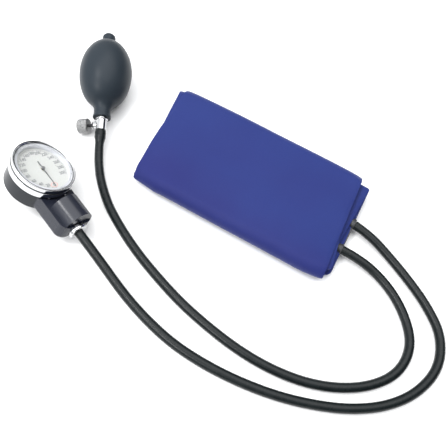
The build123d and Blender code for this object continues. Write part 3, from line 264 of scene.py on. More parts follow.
# The line is carried along the cuff's length. Across it the folds flatten towards the ends, the middle
# crowns over the bladder, the ends droop, and slow waves run over the top and along the layers' edges.
crown_height = 0.0016
end_droop = 0.0009
ripple_height = 0.00028
edge_wave_height = 0.0004
left_corner_press = 0.38
across = np.linspace(-1, 1, columns)
x = across[None, :] * cuff_length / 2 + np.interp(strip_s, fold_s, fold_shift)[:, None]
pinch = 1 + 0.9 * np.abs(across) ** 14
centre_y = strip_y[:, None] + fold_reach[:, None] * fold_sine[:, None] ** pinch[None, :]
centre_z = np.repeat(strip_z[:, None], columns, 1)
along = (centre_y - cuff_middle_y) / (cuff_width / 2)
height_share = centre_z / cuff_thickness

# The front corners are drawn in a little, and the left one is pressed flatter
draw_in = (0.0022 * np.clip((across - 0.72) / 0.28, 0, 1) ** 2
           + 0.0034 * np.clip((-across - 0.75) / 0.25, 0, 1))
centre_y += draw_in[None, :] * np.clip(-along, 0, 1) ** 2
pressed = (np.clip((-across[None, :] - 0.6) / 0.4, 0, 1) ** 1.5
           * np.clip((-along - 0.35) / 0.65, 0, 1))
crown = (1 - np.clip(np.abs(along), 0, 1) ** 2.5) * (1 - np.abs(across[None, :]) ** 4)
centre_z += crown_height * crown * height_share**2
centre_z -= end_droop * np.abs(across[None, :]) ** 6 * height_share
centre_z *= 1 - left_corner_press * pressed
ripple = (np.sin(x * 61 + centre_y * 38 + 0.6) + 0.7 * np.sin(x * 97 - centre_y * 71 + 2.1)
          + 0.5 * np.sin(x * 34 + centre_y * 143 + 4.0))
centre_z += ripple_height * ripple * height_share**2
edge_wave = np.sin(centre_y * 150 + strip_s[:, None] * 19) * np.abs(across[None, :]) ** 12
centre_z += edge_wave_height * edge_wave * np.clip(height_share, 0, 0.9)

# Half the cloth's thickness is added on either side of that surface, at right angles to it and less
# towards the rolled hems, and both ends close on the surface itself.
tangent_y = np.gradient(centre_y, axis=0)
tangent_z = np.gradient(centre_z, axis=0)
tangent_length = np.hypot(tangent_y, tangent_z)
normal_y = -tangent_z / tangent_length
normal_z = tangent_y / tangent_length
end_taper = np.clip(np.minimum(strip_s, strip_length - strip_s) / hem_roll, 0.25, 1) ** 0.5
side_taper = np.clip((1 - np.abs(across)) * cuff_length / 2 / hem_roll, 0.25, 1) ** 0.5
half = strip_half[:, None] * end_taper[:, None] * side_taper[None, :]
front = np.stack((x, centre_y + normal_y * half, centre_z + normal_z * half), -1)
back = np.stack((x, centre_y - normal_y * half, centre_z - normal_z * half), -1)
shell = np.concatenate((front, back[:, ::-1]), 1)
shell = np.concatenate(((shell[:1] + shell[:1, ::-1]) / 2, shell, (shell[-1:] + shell[-1:, ::-1]) / 2), 0)
shell[..., 2] = np.maximum(shell[..., 2], table_clearance)
cloth_u = np.concatenate(((0,), strip_s / strip_length, (1,)))
cloth_v = np.concatenate((across, across[::-1])) / 2 + 0.5
cloth_uv = np.stack(np.meshgrid(cloth_u, cloth_v, indexing="ij"), -1)
cuff = surface("cuff_cloth", shell, close_columns=True, uv=cloth_uv, sharp=60.0)

cuff_material, tree, shader = new_material("woven_nylon")
cloth_map = add_node(tree, "ShaderNodeUVMap", uv_map="cloth")
threads = add_node(tree, "ShaderNodeMapping",
                   {"Vector": cloth_map.outputs["UV"],
                    "Scale": (strip_length / thread_pitch, cuff_length / thread_pitch, 1.0)})

# Weave: a thread's height is the sine of its count, without its sign, and a checker with one square to a
# crossing says which of the two threads is on top. In front of a wavering line the blue is painted darker,
# as painted shade for the front fold rounding down to the table.
thread_axes = add_node(tree, "ShaderNodeSeparateXYZ", {0: threads.outputs["Vector"]})
thread_height = []
for axis in ("X", "Y"):
    phase = add_node(tree, "ShaderNodeMath", {0: thread_axes.outputs[axis], 1: np.pi}, operation="MULTIPLY")
    wave = add_node(tree, "ShaderNodeMath", {0: phase.outputs[0]}, operation="SINE")
    thread_height.append(add_node(tree, "ShaderNodeMath", {0: wave.outputs[0]}, operation="ABSOLUTE"))
over_under = add_node(tree, "ShaderNodeTexChecker", {"Vector": threads.outputs["Vector"], "Scale": 1.0})
weave = add_node(tree, "ShaderNodeMix", {0: over_under.outputs["Fac"], 2: thread_height[0].outputs[0],
                                         3: thread_height[1].outputs[0]})
cloth_place = add_node(tree, "ShaderNodeTexCoord")
slow_shade = add_node(tree, "ShaderNodeTexNoise",
                      {"Vector": cloth_place.outputs["Object"], "Scale": 14.0, "Detail": 2.0})
yarn_shade = add_node(tree, "ShaderNodeTexNoise",
                      {"Vector": threads.outputs["Vector"], "Scale": 0.35, "Detail": 3.0})
shadow_blue = (0.0100, 0.0155, 0.122, 1)
bright_blue = (0.0120, 0.0300, 0.163, 1)
front_painted_shade_blue = (0.0100, 0.0135, 0.117, 1)
dye = add_node(tree, "ShaderNodeMix", {0: slow_shade.outputs["Fac"], 6: shadow_blue, 7: bright_blue},
               data_type="RGBA")
cloth_axes = add_node(tree, "ShaderNodeSeparateXYZ", {0: cloth_place.outputs["Object"]})
# Painted shade: the blue is darkened in front of a wavering line, where the front fold rounds down to the
# table.
painted_shade_line = add_node(tree, "ShaderNodeMath",
                       {0: slow_shade.outputs["Fac"], 1: 0.05, 2: cloth_axes.outputs["Y"]},
                       operation="MULTIPLY_ADD")
painted_shade_share = add_node(tree, "ShaderNodeMapRange",
                       {"Value": painted_shade_line.outputs[0], "From Min": 0.018, "From Max": -0.010,
                        "To Max": 0.7}, interpolation_type="SMOOTHSTEP")
dye_with_painted_shade = add_node(tree, "ShaderNodeMix", {0: painted_shade_share.outputs[0], 6: dye.outputs[2], 7: front_painted_shade_blue},
                     data_type="RGBA")
yarn = add_node(tree, "ShaderNodeMapRange",
                {"Value": yarn_shade.outputs["Fac"], "To Min": 0.9, "To Max": 1.08})
yarn_dye_and_painted_shade = add_node(tree, "ShaderNodeMix", {0: 1.0, 6: dye_with_painted_shade.outputs[2], 7: yarn.outputs[0]},
                     data_type="RGBA", blend_type="MULTIPLY")
cloth_bump = add_node(tree, "ShaderNodeBump",
                      {"Height": weave.outputs[0], "Distance": 0.00006, "Strength": 0.6})
tree.links.new(yarn_dye_and_painted_shade.outputs[2], shader.inputs["Base Color"])
tree.links.new(cloth_bump.outputs["Normal"], shader.inputs["Normal"])
shader.inputs["Roughness"].default_value = 0.62
shader.inputs["Specular IOR Level"].default_value = 0.25
shader.inputs["Sheen Weight"].default_value = 0.18
shader.inputs["Sheen Roughness"].default_value = 0.4
shader.inputs["Sheen Tint"].default_value = (0.6, 0.68, 1.0, 1.0)
cuff.data.materials.append(cuff_material)
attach(cuff, "root")
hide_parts("cuff_sleeve")

# BLADDER
# Two sheets of thin rubber welded round the edge, lying flat in the cuff's pocket run.
# A narrower tab comes out between the layers, with a moulded port for each hose.


def surface_grain():
    """Shader group on Object coordinates. A coarse noise mixes the two colours and shifts the roughness
    by up to half its spread either way, and a fine noise is the height of the bump."""
    group = bpy.data.node_groups.new("surface_grain", "ShaderNodeTree")
    for socket_name, kind, value in (("Color", "NodeSocketColor", (0.1, 0.1, 0.1, 1)),
                                     ("Second Color", "NodeSocketColor", (0.1, 0.1, 0.1, 1)),
                                     ("Patch Scale", "NodeSocketFloat", 30.0),
                                     ("Grain Scale", "NodeSocketFloat", 3000.0),
                                     ("Grain Depth", "NodeSocketFloat", 0.00002),
                                     ("Roughness", "NodeSocketFloat", 0.5),
                                     ("Roughness Spread", "NodeSocketFloat", 0.1)):
        group.interface.new_socket(socket_name, in_out="INPUT", socket_type=kind).default_value = value
    for socket_name, kind in (("Color", "NodeSocketColor"), ("Roughness", "NodeSocketFloat"),
                              ("Normal", "NodeSocketVector")):
        group.interface.new_socket(socket_name, in_out="OUTPUT", socket_type=kind)
    given = group.nodes.new("NodeGroupInput").outputs
    place = add_node(group, "ShaderNodeTexCoord").outputs["Object"]
    patches = add_node(group, "ShaderNodeTexNoise",
                       {"Vector": place, "Scale": given["Patch Scale"], "Detail": 4.0})
    grain = add_node(group, "ShaderNodeTexNoise",
                     {"Vector": place, "Scale": given["Grain Scale"], "Detail": 2.0})
    colour = add_node(group, "ShaderNodeMix", {0: patches.outputs["Fac"], 6: given["Color"],
                                               7: given["Second Color"]}, data_type="RGBA")
    centred = add_node(group, "ShaderNodeMath", {0: patches.outputs["Fac"], 1: 0.5}, operation="SUBTRACT")
    gloss = add_node(group, "ShaderNodeMath", {0: centred.outputs[0], 1: given["Roughness Spread"],
                                               2: given["Roughness"]}, operation="MULTIPLY_ADD")
    bump = add_node(group, "ShaderNodeBump",
                    {"Height": grain.outputs["Fac"], "Distance": given["Grain Depth"]})
    add_node(group, "NodeGroupOutput", {"Color": colour.outputs[2], "Roughness": gloss.outputs[0],
                                        "Normal": bump.outputs["Normal"]})
    return group


grain_group = surface_grain()


def grained(name, colour, second, patch=30.0, grain=3000.0, depth=0.00002, rough=0.5, spread=0.1,
            **shader_values):
    """Material whose colour, gloss and normal come from the surface grain group."""
    made, tree, shader = new_material(name)
    grain_node = add_node(tree, "ShaderNodeGroup",
                          {"Color": (*colour, 1), "Second Color": (*second, 1), "Patch Scale": patch,
                           "Grain Scale": grain, "Grain Depth": depth, "Roughness": rough,
                           "Roughness Spread": spread}, node_tree=grain_group)
    for grained_value, shader_socket in (("Color", "Base Color"), ("Roughness", "Roughness"),
                                         ("Normal", "Normal")):
        tree.links.new(grain_node.outputs[grained_value], shader.inputs[shader_socket])
    for socket_name, value in shader_values.items():
        shader.inputs[socket_name.replace("_", " ")].default_value = value
    return made


def circle(segments):
    """Angles once round in even steps, without the last, which is the first again."""
    return np.linspace(0, 2 * np.pi, segments + 1)[:-1]


port_x = 0.083
port_level = float(run_level[1])
port_spacing = 0.024
tab_margin = 0.0055
tab_half_width = port_spacing / 2 + tab_margin
bladder_half_length = 0.064
bladder_half_width = 0.036
bladder_half_thickness = 0.0006
shoulder_length = 0.004
corner_length = 0.0012
squareness = 0.28
plumpness = 0.9
rib_swell = 0.35
rib_rate = 420
length_points = 70
ring_points = 48

# Flattened ring carried along X: its half width steps down to the tab's at the shoulder and rounds off
# at the end, and its half thickness swells in soft ribs along the tab.
tab_x = np.linspace(0.0, port_x, length_points)
on_tab = np.clip((tab_x - (bladder_half_length - shoulder_length)) / shoulder_length, 0, 1)
half_width = (1 - on_tab) * bladder_half_width + on_tab * tab_half_width
rounding = np.clip((port_x - tab_x) / corner_length, 0, 1)
half_width = half_width - corner_length * (1 - np.sqrt(1 - (1 - rounding) ** 2))
ring = circle(ring_points)
ring_y = np.sign(np.cos(ring)) * np.abs(np.cos(ring)) ** squareness
ring_z = np.sign(np.sin(ring)) * np.abs(np.sin(ring)) ** squareness
plump = bladder_half_thickness * (plumpness + rib_swell * np.sin(tab_x * rib_rate) ** 2 * on_tab)
bladder_grid = np.stack((np.repeat(tab_x[:, None], ring_points, 1), half_width[:, None] * ring_y[None, :],
                         port_level + plump[:, None] * ring_z[None, :]), -1)
caps = [end.mean(0, keepdims=True).repeat(ring_points, 0)[None]
        for end in (bladder_grid[0], bladder_grid[-1])]
bladder_grid = np.concatenate((caps[0], bladder_grid, caps[1]), 0)
bladder = surface("bladder_with_ports", bladder_grid, close_columns=True, sharp=50.0)


def joined(name, pieces):
    """One object from several, with their meshes kept apart inside it."""
    shape = bmesh.new()
    for piece in pieces:
        shape.from_mesh(piece.data)
    mesh = pieces[0].data
    mesh.name = name
    shape.to_mesh(mesh)
    shape.free()
    pieces[0].name = name
    for piece in pieces[1:]:
        bpy.data.objects.remove(piece)
    return pieces[0]


def quadratic(start, corner, end, steps):
    """Curve from start to end, drawn towards the corner: shares of (1-t)^2, 2t(1-t) and t^2 of start,
    corner and end, for t from 0 to 1."""
    t = np.linspace(0, 1, steps)[:, None]
    return ((1 - t) ** 2 * start[..., None, :] + 2 * t * (1 - t) * corner[..., None, :]
            + t**2 * end[..., None, :])


def rounded(corners, steps=6):
    """Closed profile with the corners (radius, height, rounding), each rounded by a quadratic curve
    that starts and ends at that distance along its two sides, or halfway where a side is short."""
    corners = np.array(corners, float)
    point = corners[:, :2]
    before = np.roll(point, 1, 0) - point
    after = np.roll(point, -1, 0) - point
    reach = corners[:, 2:3]
    start = point + before * np.minimum(reach / np.linalg.norm(before, axis=1, keepdims=True), 0.49)
    end = point + after * np.minimum(reach / np.linalg.norm(after, axis=1, keepdims=True), 0.49)
    return quadratic(start, point, end, steps).reshape(-1, 2)


def rings(radius, height, turn_angle):
    """Rows of points (radius * cosine, radius * sine, height), one row for each ring."""
    ring_x = radius * np.cos(turn_angle)
    return np.stack((ring_x, radius * np.sin(turn_angle), np.broadcast_to(height, ring_x.shape)), -1)


def turned(name, profile, origin, axes, segments=96, sharp=40.0):
    """Closed profile of (radius, height) turned about the third of the axes, which starts at origin."""
    local = rings(profile[:, :1], profile[:, 1:], circle(segments))
    return surface(name, origin + local @ axes, close_rows=True, close_columns=True, sharp=sharp)


port_axes = np.array(((0, 1.0, 0), (0, 0, 1.0), (1.0, 0, 0)))
port_profile = rounded([(0.0016, -0.004, 0.0001), (0.0034, -0.0046, 0.0008), (0.0038, -0.0012, 0.0004),
                        (0.00405, -0.0009, 0.0003), (0.00405, 0.0, 0.0004), (0.0016, 0.0, 0.0001)])
ports = [turned("port", port_profile, np.array((port_x, port_y, port_level)), port_axes, 40)
         for port_y in (-port_spacing / 2, port_spacing / 2)]
bladder = joined("bladder_with_ports", [bladder, *ports])
bladder_rubber = grained("bladder_rubber", (0.022, 0.023, 0.026), (0.035, 0.036, 0.04), rough=0.5,
                         spread=0.15)
bladder.data.materials.clear()
bladder.data.materials.append(bladder_rubber)
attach(bladder, "root")
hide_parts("bladder")

# HOSES
# Two lengths of extruded rubber tube, each pushed on a fitting and led round the table to the cuff.
# The bulb's hose starts at the end of the wider part that is stretched over the valve's barb.
hose_diameter = 0.0066
table_line = hose_diameter / 2
sleeve_end = 0.021
bulb_hose_straight = 0.0175
gauge_hose_straight = 0.022

# Places and directions of bulb and gauge, as in the CAD
bulb_axis = np.array((-0.477199, 0.853847, 0.207912))
bulb_mouth = np.array((-0.12198, -0.0121585, 0.0126014))
stem_axis = np.array((0.924428, -0.339052, -0.174574))
dial_axis = np.array((0.307585, 0.392277, 0.866897))
gauge_origin = np.array((-0.1275, -0.0872, 0.0114644))
fitting_along_stem = 0.0478
fitting_level = 0.0084
bulb_hose_start = bulb_mouth - bulb_axis * sleeve_end
gauge_hose_start = gauge_origin + stem_axis * fitting_along_stem + dial_axis * fitting_level

# Points listed to follow the photograph, from the fitting over the table to the cuff's port
bulb_hose_route = [
    bulb_hose_start, bulb_hose_start - bulb_axis * bulb_hose_straight,
    (-0.082, -0.066, table_line), (-0.062, -0.0785, table_line), (-0.040, -0.0895, table_line),
    (-0.018, -0.098, table_line), (0.005, -0.1055, table_line), (0.028, -0.1105, table_line),
    (0.052, -0.114, table_line), (0.076, -0.1145, table_line), (0.100, -0.111, table_line),
    (0.121, -0.103, table_line), (0.1385, -0.091, table_line), (0.1505, -0.0755, table_line),
    (0.1535, -0.0585, table_line), (0.149, -0.0433, table_line), (0.135, -0.0271, table_line),
    (0.118, -0.0162, table_line), (port_x + 0.015, -port_spacing / 2, port_level),
    (port_x, -port_spacing / 2, port_level)]
gauge_hose_route = [
    gauge_hose_start, gauge_hose_start + stem_axis * gauge_hose_straight,
    (-0.0305, -0.120, table_line), (-0.0075, -0.1275, table_line), (0.016, -0.1325, table_line),
    (0.040, -0.1335, table_line), (0.063, -0.132, table_line), (0.087, -0.128, table_line),
    (0.109, -0.1215, table_line), (0.1315, -0.112, table_line), (0.152, -0.098, table_line),
    (0.167, -0.0795, table_line), (0.1745, -0.056, table_line), (0.1685, -0.0335, table_line),
    (0.1522, -0.0180, table_line), (0.1345, -0.0066, table_line), (0.1158, 0.0034, table_line),
    (port_x + 0.0125, 0.0104, port_level), (port_x, port_spacing / 2, port_level)]
hose_rubber = grained("hose_rubber", (0.003, 0.0052, 0.0058), (0.009, 0.0122, 0.0132), patch=160.0,
                      grain=2400.0, depth=0.00006, rough=0.27, spread=0.2, Specular_IOR_Level=0.21)


def hose(name, route):
    """Tube along one smooth spline, a quadratic NURBS whose control points are the route's."""
    curve = bpy.data.curves.new(name, "CURVE")
    curve.dimensions = "3D"
    curve.resolution_u = 14
    curve.bevel_depth = hose_diameter / 2
    curve.bevel_resolution = 8
    curve.use_fill_caps = True
    spline = curve.splines.new("NURBS")
    spline.points.add(len(route) - 1)
    spline.points.foreach_set("co", np.array([(*point, 1.0) for point in route]).ravel())
    spline.order_u = 3
    spline.use_endpoint_u = True
    curve.materials.append(hose_rubber)
    made = linked(name, curve)
    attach(made, "root")
    return made


bulb_hose = hose("hose_to_bulb", bulb_hose_route)
gauge_hose = hose("hose_to_gauge", gauge_hose_route)
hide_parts("bulb_hose")
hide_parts("gauge_hose")

# BULB
# One moulded rubber shell, egg shaped, with a lipped neck for the valve and a domed nub for the inlet.
# Its neck is stretched over the valve's spigot, and its nub grips the brass inlet valve.
knob_axis = np.array((-0.858387, -0.402193, -0.318454))
bulb_axes = np.stack((knob_axis, np.cross(bulb_axis, knob_axis), bulb_axis))
bulb_half = 0.0292
bulb_radius = 0.0201
bulb_wall = 0.0022
neck_length = 0.0094
nub_height = 0.0054
neck_end_fullness = 0.86
blend_radius = 0.0108
nub_foot_radius = 0.0058
dome_flat = 0.0022
dome_radius = 0.0030
dome_height = 0.0033
dome_foot_depth = 0.0025
throat_edge = 0.0041
bore_end_depth = 0.009
blend_points = 14
egg_points = 120
dome_points = 9
inner_points = 50
bulb_centre = neck_length + bulb_half
nub_top = neck_length + 2 * bulb_half + nub_height

# Profile of (radius, height above the mouth): the neck's lip, a curve into the egg, the egg, the nub's
# foot, dome and bore, then the inside of the wall and the throat. The egg's height goes with the cosine
# and its radius with the sine, to a lower power at the neck's end, where the bulb is fuller.
lip_steps = 6
neck = rounded([(0.0059, 0.0, 0.0004), (0.0068, 0.0, 0.0006), (0.0068, 0.0020, 0.0006),
                (0.0064, 0.0023, 0.0003)], lip_steps)[lip_steps:]
blend = quadratic(*np.array(((0.0064, 0.0060), (0.0064, 0.00946), (0.0106, 0.01291))), blend_points)
egg_angle = np.linspace(0, np.pi, egg_points)
fullness = np.where(egg_angle < np.pi / 2, neck_end_fullness, 1.0)
egg = np.stack((bulb_radius * np.sin(egg_angle) ** fullness,
                bulb_centre - bulb_half * np.cos(egg_angle)), -1)
egg = egg[egg[:, 0] > np.where(egg[:, 1] < bulb_centre, blend_radius, nub_foot_radius)]
dome_angle = np.linspace(0, np.pi / 2, dome_points)
dome = np.stack((dome_flat + dome_radius * np.cos(dome_angle),
                 nub_top - dome_foot_depth + dome_height * np.sin(dome_angle)), -1)
nub_foot = np.array([(0.0056, 0.0671), (0.0053, 0.0676), (0.0052, 0.0683)])
nub_bore = np.array([(0.0014, nub_top + 0.0007), (0.0012, nub_top + 0.0003), (0.0012, nub_top - 0.0012),
                     (0.00365, nub_top - 0.0012), (0.00365, nub_top - 0.0085)])
inner_angle = np.linspace(3.03, 0.41, inner_points)
inner = np.stack(((bulb_radius - bulb_wall) * np.sin(inner_angle),
                  bulb_centre - (bulb_half - bulb_wall) * np.cos(inner_angle)), -1)
inner = inner[(inner[:, 0] > throat_edge) & (inner[:, 1] < nub_top - bore_end_depth)]
throat = np.array([(0.00395, 0.0118), (0.00395, 0.0003), (0.0045, 0.0)])
bulb_profile = np.concatenate((neck, blend, egg, nub_foot, dome, nub_bore, inner, throat))
bulb = turned("squeeze_bulb", bulb_profile, bulb_mouth, bulb_axes, 128, sharp=50.0)
bulb_rubber = grained("bulb_rubber", (0.020, 0.027, 0.035), (0.026, 0.034, 0.043), patch=40.0,
                      grain=2600.0, depth=0.000012, rough=0.38, spread=0.08, Specular_IOR_Level=0.15)
bulb.data.materials.append(bulb_rubber)
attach(bulb, "root")
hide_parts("bulb")

# HOSE END
# End of the bulb's rubber hose, pushed over the barb on the valve's body and held by its own stretch.
# It swells over the barb's two rings and narrows to the free hose behind them.
sleeve_profile = rounded([(0.0027, -0.0101, 0.0001), (0.0037, -0.0101, 0.0006), (0.0042, -0.0118, 0.0012),
                          (0.00405, -0.0142, 0.001), (0.0042, -0.0160, 0.001), (0.0034, -0.0196, 0.001),
                          (0.0033, -sleeve_end, 0.0002), (0.0016, -sleeve_end, 0.0001),
                          (0.0016, -0.0200, 0.0002), (0.0027, -0.0195, 0.0001)])
hose_end = turned("hose_end_over_barb", sleeve_profile, bulb_mouth, bulb_axes, 48)
hose_end.data.materials.append(hose_rubber)
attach(hose_end, "root")
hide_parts("bulb_hose_sleeve")

# METALS AND SEALS
# Turned, stamped and drawn pieces of chromed and plain brass, bronze and steel, the stem's rubber seal
# and the cuff's tapes. They keep their CAD shapes, and most of them are out of sight.
chrome = grained("chrome_plate", (0.59, 0.595, 0.605), (0.69, 0.695, 0.705), patch=60.0, grain=900.0,
                 depth=0.000002, rough=0.11, spread=0.08, Metallic=1.0)
brass = grained("turned_brass", (0.62, 0.42, 0.16), (0.74, 0.55, 0.25), patch=150.0, grain=5000.0,
                depth=0.000004, rough=0.3, spread=0.2, Metallic=1.0)
bronze = grained("spring_bronze", (0.56, 0.33, 0.15), (0.70, 0.46, 0.24), patch=150.0, grain=5000.0,
                 depth=0.000004, rough=0.32, spread=0.2, Metallic=1.0)
steel = grained("turned_steel", (0.48, 0.48, 0.50), (0.62, 0.62, 0.64), patch=150.0, grain=5000.0,
                depth=0.000004, rough=0.28, spread=0.2, Metallic=1.0)
# The blackened steel finish is also put in the bezel's groove, as painted shade.
black_metal_and_groove_shade = grained("blackened_steel_and_groove_shade", (0.02, 0.02, 0.022), (0.04, 0.04, 0.042), patch=200.0,
                      grain=4000.0, depth=0.000004, rough=0.35, spread=0.2, Metallic=0.6)
seal_rubber = grained("seal_rubber", (0.012, 0.012, 0.013), (0.02, 0.02, 0.021), rough=0.6)
patch_cloth = grained("hook_and_loop_tape", (0.02, 0.026, 0.12), (0.035, 0.042, 0.17), patch=900.0,
                      grain=2200.0, depth=0.0002, rough=0.85)
carried = {
    chrome: ["valve_body"],
    brass: ["inlet_valve_body", "inlet_cage", "outlet_seat", "outlet_cage", "air_bar", "base_plate",
            "top_plate", "pillars", "sector_gear", "hairspring_stud"],
    bronze: ["capsule_lower", "capsule_upper", "hairspring"],
    steel: ["inlet_ball", "outlet_ball", "block_screws", "push_button", "plate_screws",
            "movement_screws", "rocking_shaft", "pinion_arbor"],
    black_metal_and_groove_shade: ["gland_nut"],
    seal_rubber: ["stem_seal"],
    patch_cloth: ["hook_patch", "loop_patch"],
}


def paint(node_names, finish):
    """Give CAD nodes one finish."""
    for node_name in node_names:
        nodes[node_name].data.materials.clear()
        nodes[node_name].data.materials.append(finish)


for finish, node_names in carried.items():
    paint(node_names, finish)

# THUMBSCREW
# Turned knob with diamond knurls, nickel plated, on a needle with a fine thread, of blackened steel.
# It is screwed into the boss on the valve's side and lets the air out as it is turned back.
screw_below_mouth = 0.0052
screw_origin = bulb_mouth - bulb_axis * screw_below_mouth
screw_axes = np.stack((np.cross(bulb_axis, knob_axis), bulb_axis, knob_axis))
knob_start = 0.0100
knob_length = 0.0085
knob_radius = 0.0056
knurls = 26
points_per_knurl = 8
knurl_depth = 0.00042
knurl_twist = 17.0
knurl_fade = 0.09
knurl_power = 0.8
edge_drop = 0.0006
knob_points = 57

# Knurls: ridges are left where two sines of the angle, twisted opposite ways along the knob, are both
# high, and fade out at the knob's two ends, where the edge also drops away.
knob_angle = circle(knurls * points_per_knurl)
knob_share = np.linspace(0, 1, knob_points)
knurl_phase = knurls / 2 * knob_angle[None, :]
knurl_turn = knob_share[:, None] * knurl_twist
ridge = (np.abs(np.sin(knurl_phase + knurl_turn))
         * np.abs(np.sin(knurl_phase - knurl_turn))) ** knurl_power
flank = np.clip(np.minimum(knob_share, 1 - knob_share) / knurl_fade, 0, 1)[:, None]
side_radius = knob_radius - knurl_depth * (1 - ridge * flank) - edge_drop * (1 - flank**0.5)
dish = np.array([(0.0045, 0.0), (0.0036, -0.0001), (0.0029, -0.0004), (0.0026, -0.0007), (0.0, -0.0008)])
base = np.array([(0.0, 0.0), (0.0030, 0.0), (0.0045, 0.0)])
knob_rings = np.concatenate((np.repeat(base[:, :1], len(knob_angle), 1), side_radius,
                             np.repeat(dish[:, :1], len(knob_angle), 1)))
knob_levels = np.concatenate((base[:, 1:] + knob_start, knob_start + knob_share[:, None] * knob_length,
                              dish[:, 1:] + knob_start + knob_length))
knob_grid = rings(knob_rings, knob_levels, knob_angle)
knob = surface("thumbscrew_knob", screw_origin + knob_grid @ screw_axes, close_columns=True, sharp=75.0)
knurled_nickel = grained("knurled_nickel", (0.11, 0.11, 0.11), (0.47, 0.47, 0.47), patch=900.0,
                         grain=1500.0, depth=0.00006, rough=0.34, spread=0.5, Metallic=1.0)
knob.data.materials.append(knurled_nickel)
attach(knob, "thumbscrew")
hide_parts("release_knob")

# Thread: the radius falls and rises evenly with the number of turns, height over pitch less the angle
needle_points = 32
needle_radius = 0.0013
needle_pitch = 0.0007
needle_thread_start = 0.0029
needle_thread_depth = 0.00018
needle_thread_points = 110
needle_level = np.linspace(needle_thread_start, knob_start, needle_thread_points)[:, None]
needle_angle = circle(needle_points)
turns = needle_level / needle_pitch - needle_angle[None, :] / (2 * np.pi)
thread_radius = needle_radius - needle_thread_depth * np.abs(2 * (turns % 1) - 1)
tip = np.array([(0.0, 0.00145), (0.00025, 0.00145), (0.00118, 0.0027)])
needle_rings = np.concatenate((np.repeat(tip[:, :1], needle_points, 1), thread_radius,
                               np.zeros((1, needle_points))))
needle_levels = np.concatenate((tip[:, 1:], needle_level, ((knob_start,),)))
needle_grid = rings(needle_rings, needle_levels, needle_angle)
needle = surface("threaded_needle", screw_origin + needle_grid @ screw_axes, close_columns=True,
                 sharp=60.0)
needle.data.materials.append(black_metal_and_groove_shade)
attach(needle, "thumbscrew")
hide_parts("release_screw")

# GAUGE CASE AND BLOCK
# Two mouldings of black plastic: a round cup for the movement and a block with a barrel for the hose's
# fitting, held to the cup by two screws. Both keep their CAD shapes.
case_plastic = grained("case_plastic", (0.009, 0.011, 0.015), (0.015, 0.018, 0.023), patch=25.0,
                       grain=2200.0, depth=0.000012, rough=0.3, spread=0.1, Specular_IOR_Level=0.32)
block_plastic = grained("block_plastic", (0.010, 0.012, 0.021), (0.017, 0.020, 0.032), patch=25.0,
                        grain=2200.0, depth=0.000012, rough=0.26, spread=0.1, Specular_IOR_Level=0.4)
paint(["gauge_case"], case_plastic)
paint(["stem_block"], block_plastic)

# COLLAR
# Turned and chromed ring at the block's lower end, pressed in round the end of the gauge's hose.
# Its face is cupped and its rim rounded, so it catches the light on both sides of the hose.
gauge_axes = np.stack((stem_axis, np.cross(dial_axis, stem_axis), dial_axis))
collar_axes = np.stack((gauge_axes[1], dial_axis, stem_axis))
collar_profile = rounded([(0.0034, -0.0020, 0.0001), (0.0067, -0.0020, 0.0002), (0.0067, 0.0016, 0.0009),
                          (0.0052, 0.0018, 0.0004), (0.0042, 0.0010, 0.0003), (0.0034, 0.0010, 0.0001)])
collar = turned("hose_collar", collar_profile, gauge_hose_start, collar_axes, 72)
collar.data.materials.append(chrome)
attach(collar, "root")
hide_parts("hose_connector")

# DIAL
# White enamelled plate, screwed down and printed with a scale from 0 to 300, clockwise over 300 degrees.
# Short ticks stand every 2, longer ones every 10 and plain numbers every 20, and a red ring lies round
# the zero.
dial_white = grained("dial_enamel", (0.42, 0.42, 0.41), (0.45, 0.45, 0.44), patch=60.0, grain=4000.0,
                     depth=0.000002, rough=0.45)
ring_white = grained("ring_plastic", (0.53, 0.535, 0.57), (0.59, 0.595, 0.63), patch=60.0, grain=3000.0,
                     depth=0.000004, rough=0.35)
paint(["dial_plate", "dial_screws"], dial_white)
paint(["dial_ring", "lens_gasket"], ring_white)
dial_top = 0.0175
print_height = 0.00003
last_reading = 300
print_ink = grained("dial_print", (0.13, 0.13, 0.14), (0.18, 0.18, 0.19), rough=0.6)

# Each tick is a thin box: its corners lie at its inner and outer radius, half its width to either side of
# the ray that turns clockwise by one degree for each unit of the reading, and at two heights.
reading = np.arange(0, last_reading + 1, 2)
tick_count = len(reading)
tick_angle = -np.radians(reading.astype(float))
tenth = reading % 10 == 0
tick_inner = np.where(tenth, 0.0155, 0.0163)
tick_half = np.where(tenth, 0.00011, 0.00006)
outward = np.stack((np.cos(tick_angle), np.sin(tick_angle)), -1)
sideways = np.stack((-outward[:, 1], outward[:, 0]), -1)
tick_outer = np.full(tick_count, 0.0174)
tick_edges = ((tick_inner, -1), (tick_outer, -1), (tick_outer, 1), (tick_inner, 1))
corner = np.stack([outward * reach[:, None] + sideways * tick_half[:, None] * side
                   for reach, side in tick_edges], 1)
tick_points = np.concatenate([np.concatenate((corner, np.full((tick_count, 4, 1), level)), 2)
                              for level in (dial_top, dial_top + print_height)], 1)
tick_base = np.arange(tick_count)[:, None, None] * 8
tick_faces = np.array(((3, 2, 1, 0), (4, 5, 6, 7), (0, 1, 5, 4),
                       (1, 2, 6, 5), (2, 3, 7, 6), (3, 0, 4, 7)))
tick_mesh = bpy.data.meshes.new("dial_ticks")
tick_mesh.from_pydata((gauge_origin + tick_points.reshape(-1, 3) @ gauge_axes).tolist(), [],
                      (tick_base + tick_faces[None]).reshape(-1, 4).tolist())
ticks = linked("dial_ticks", tick_mesh)
ticks.data.materials.append(print_ink)
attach(ticks, "root")

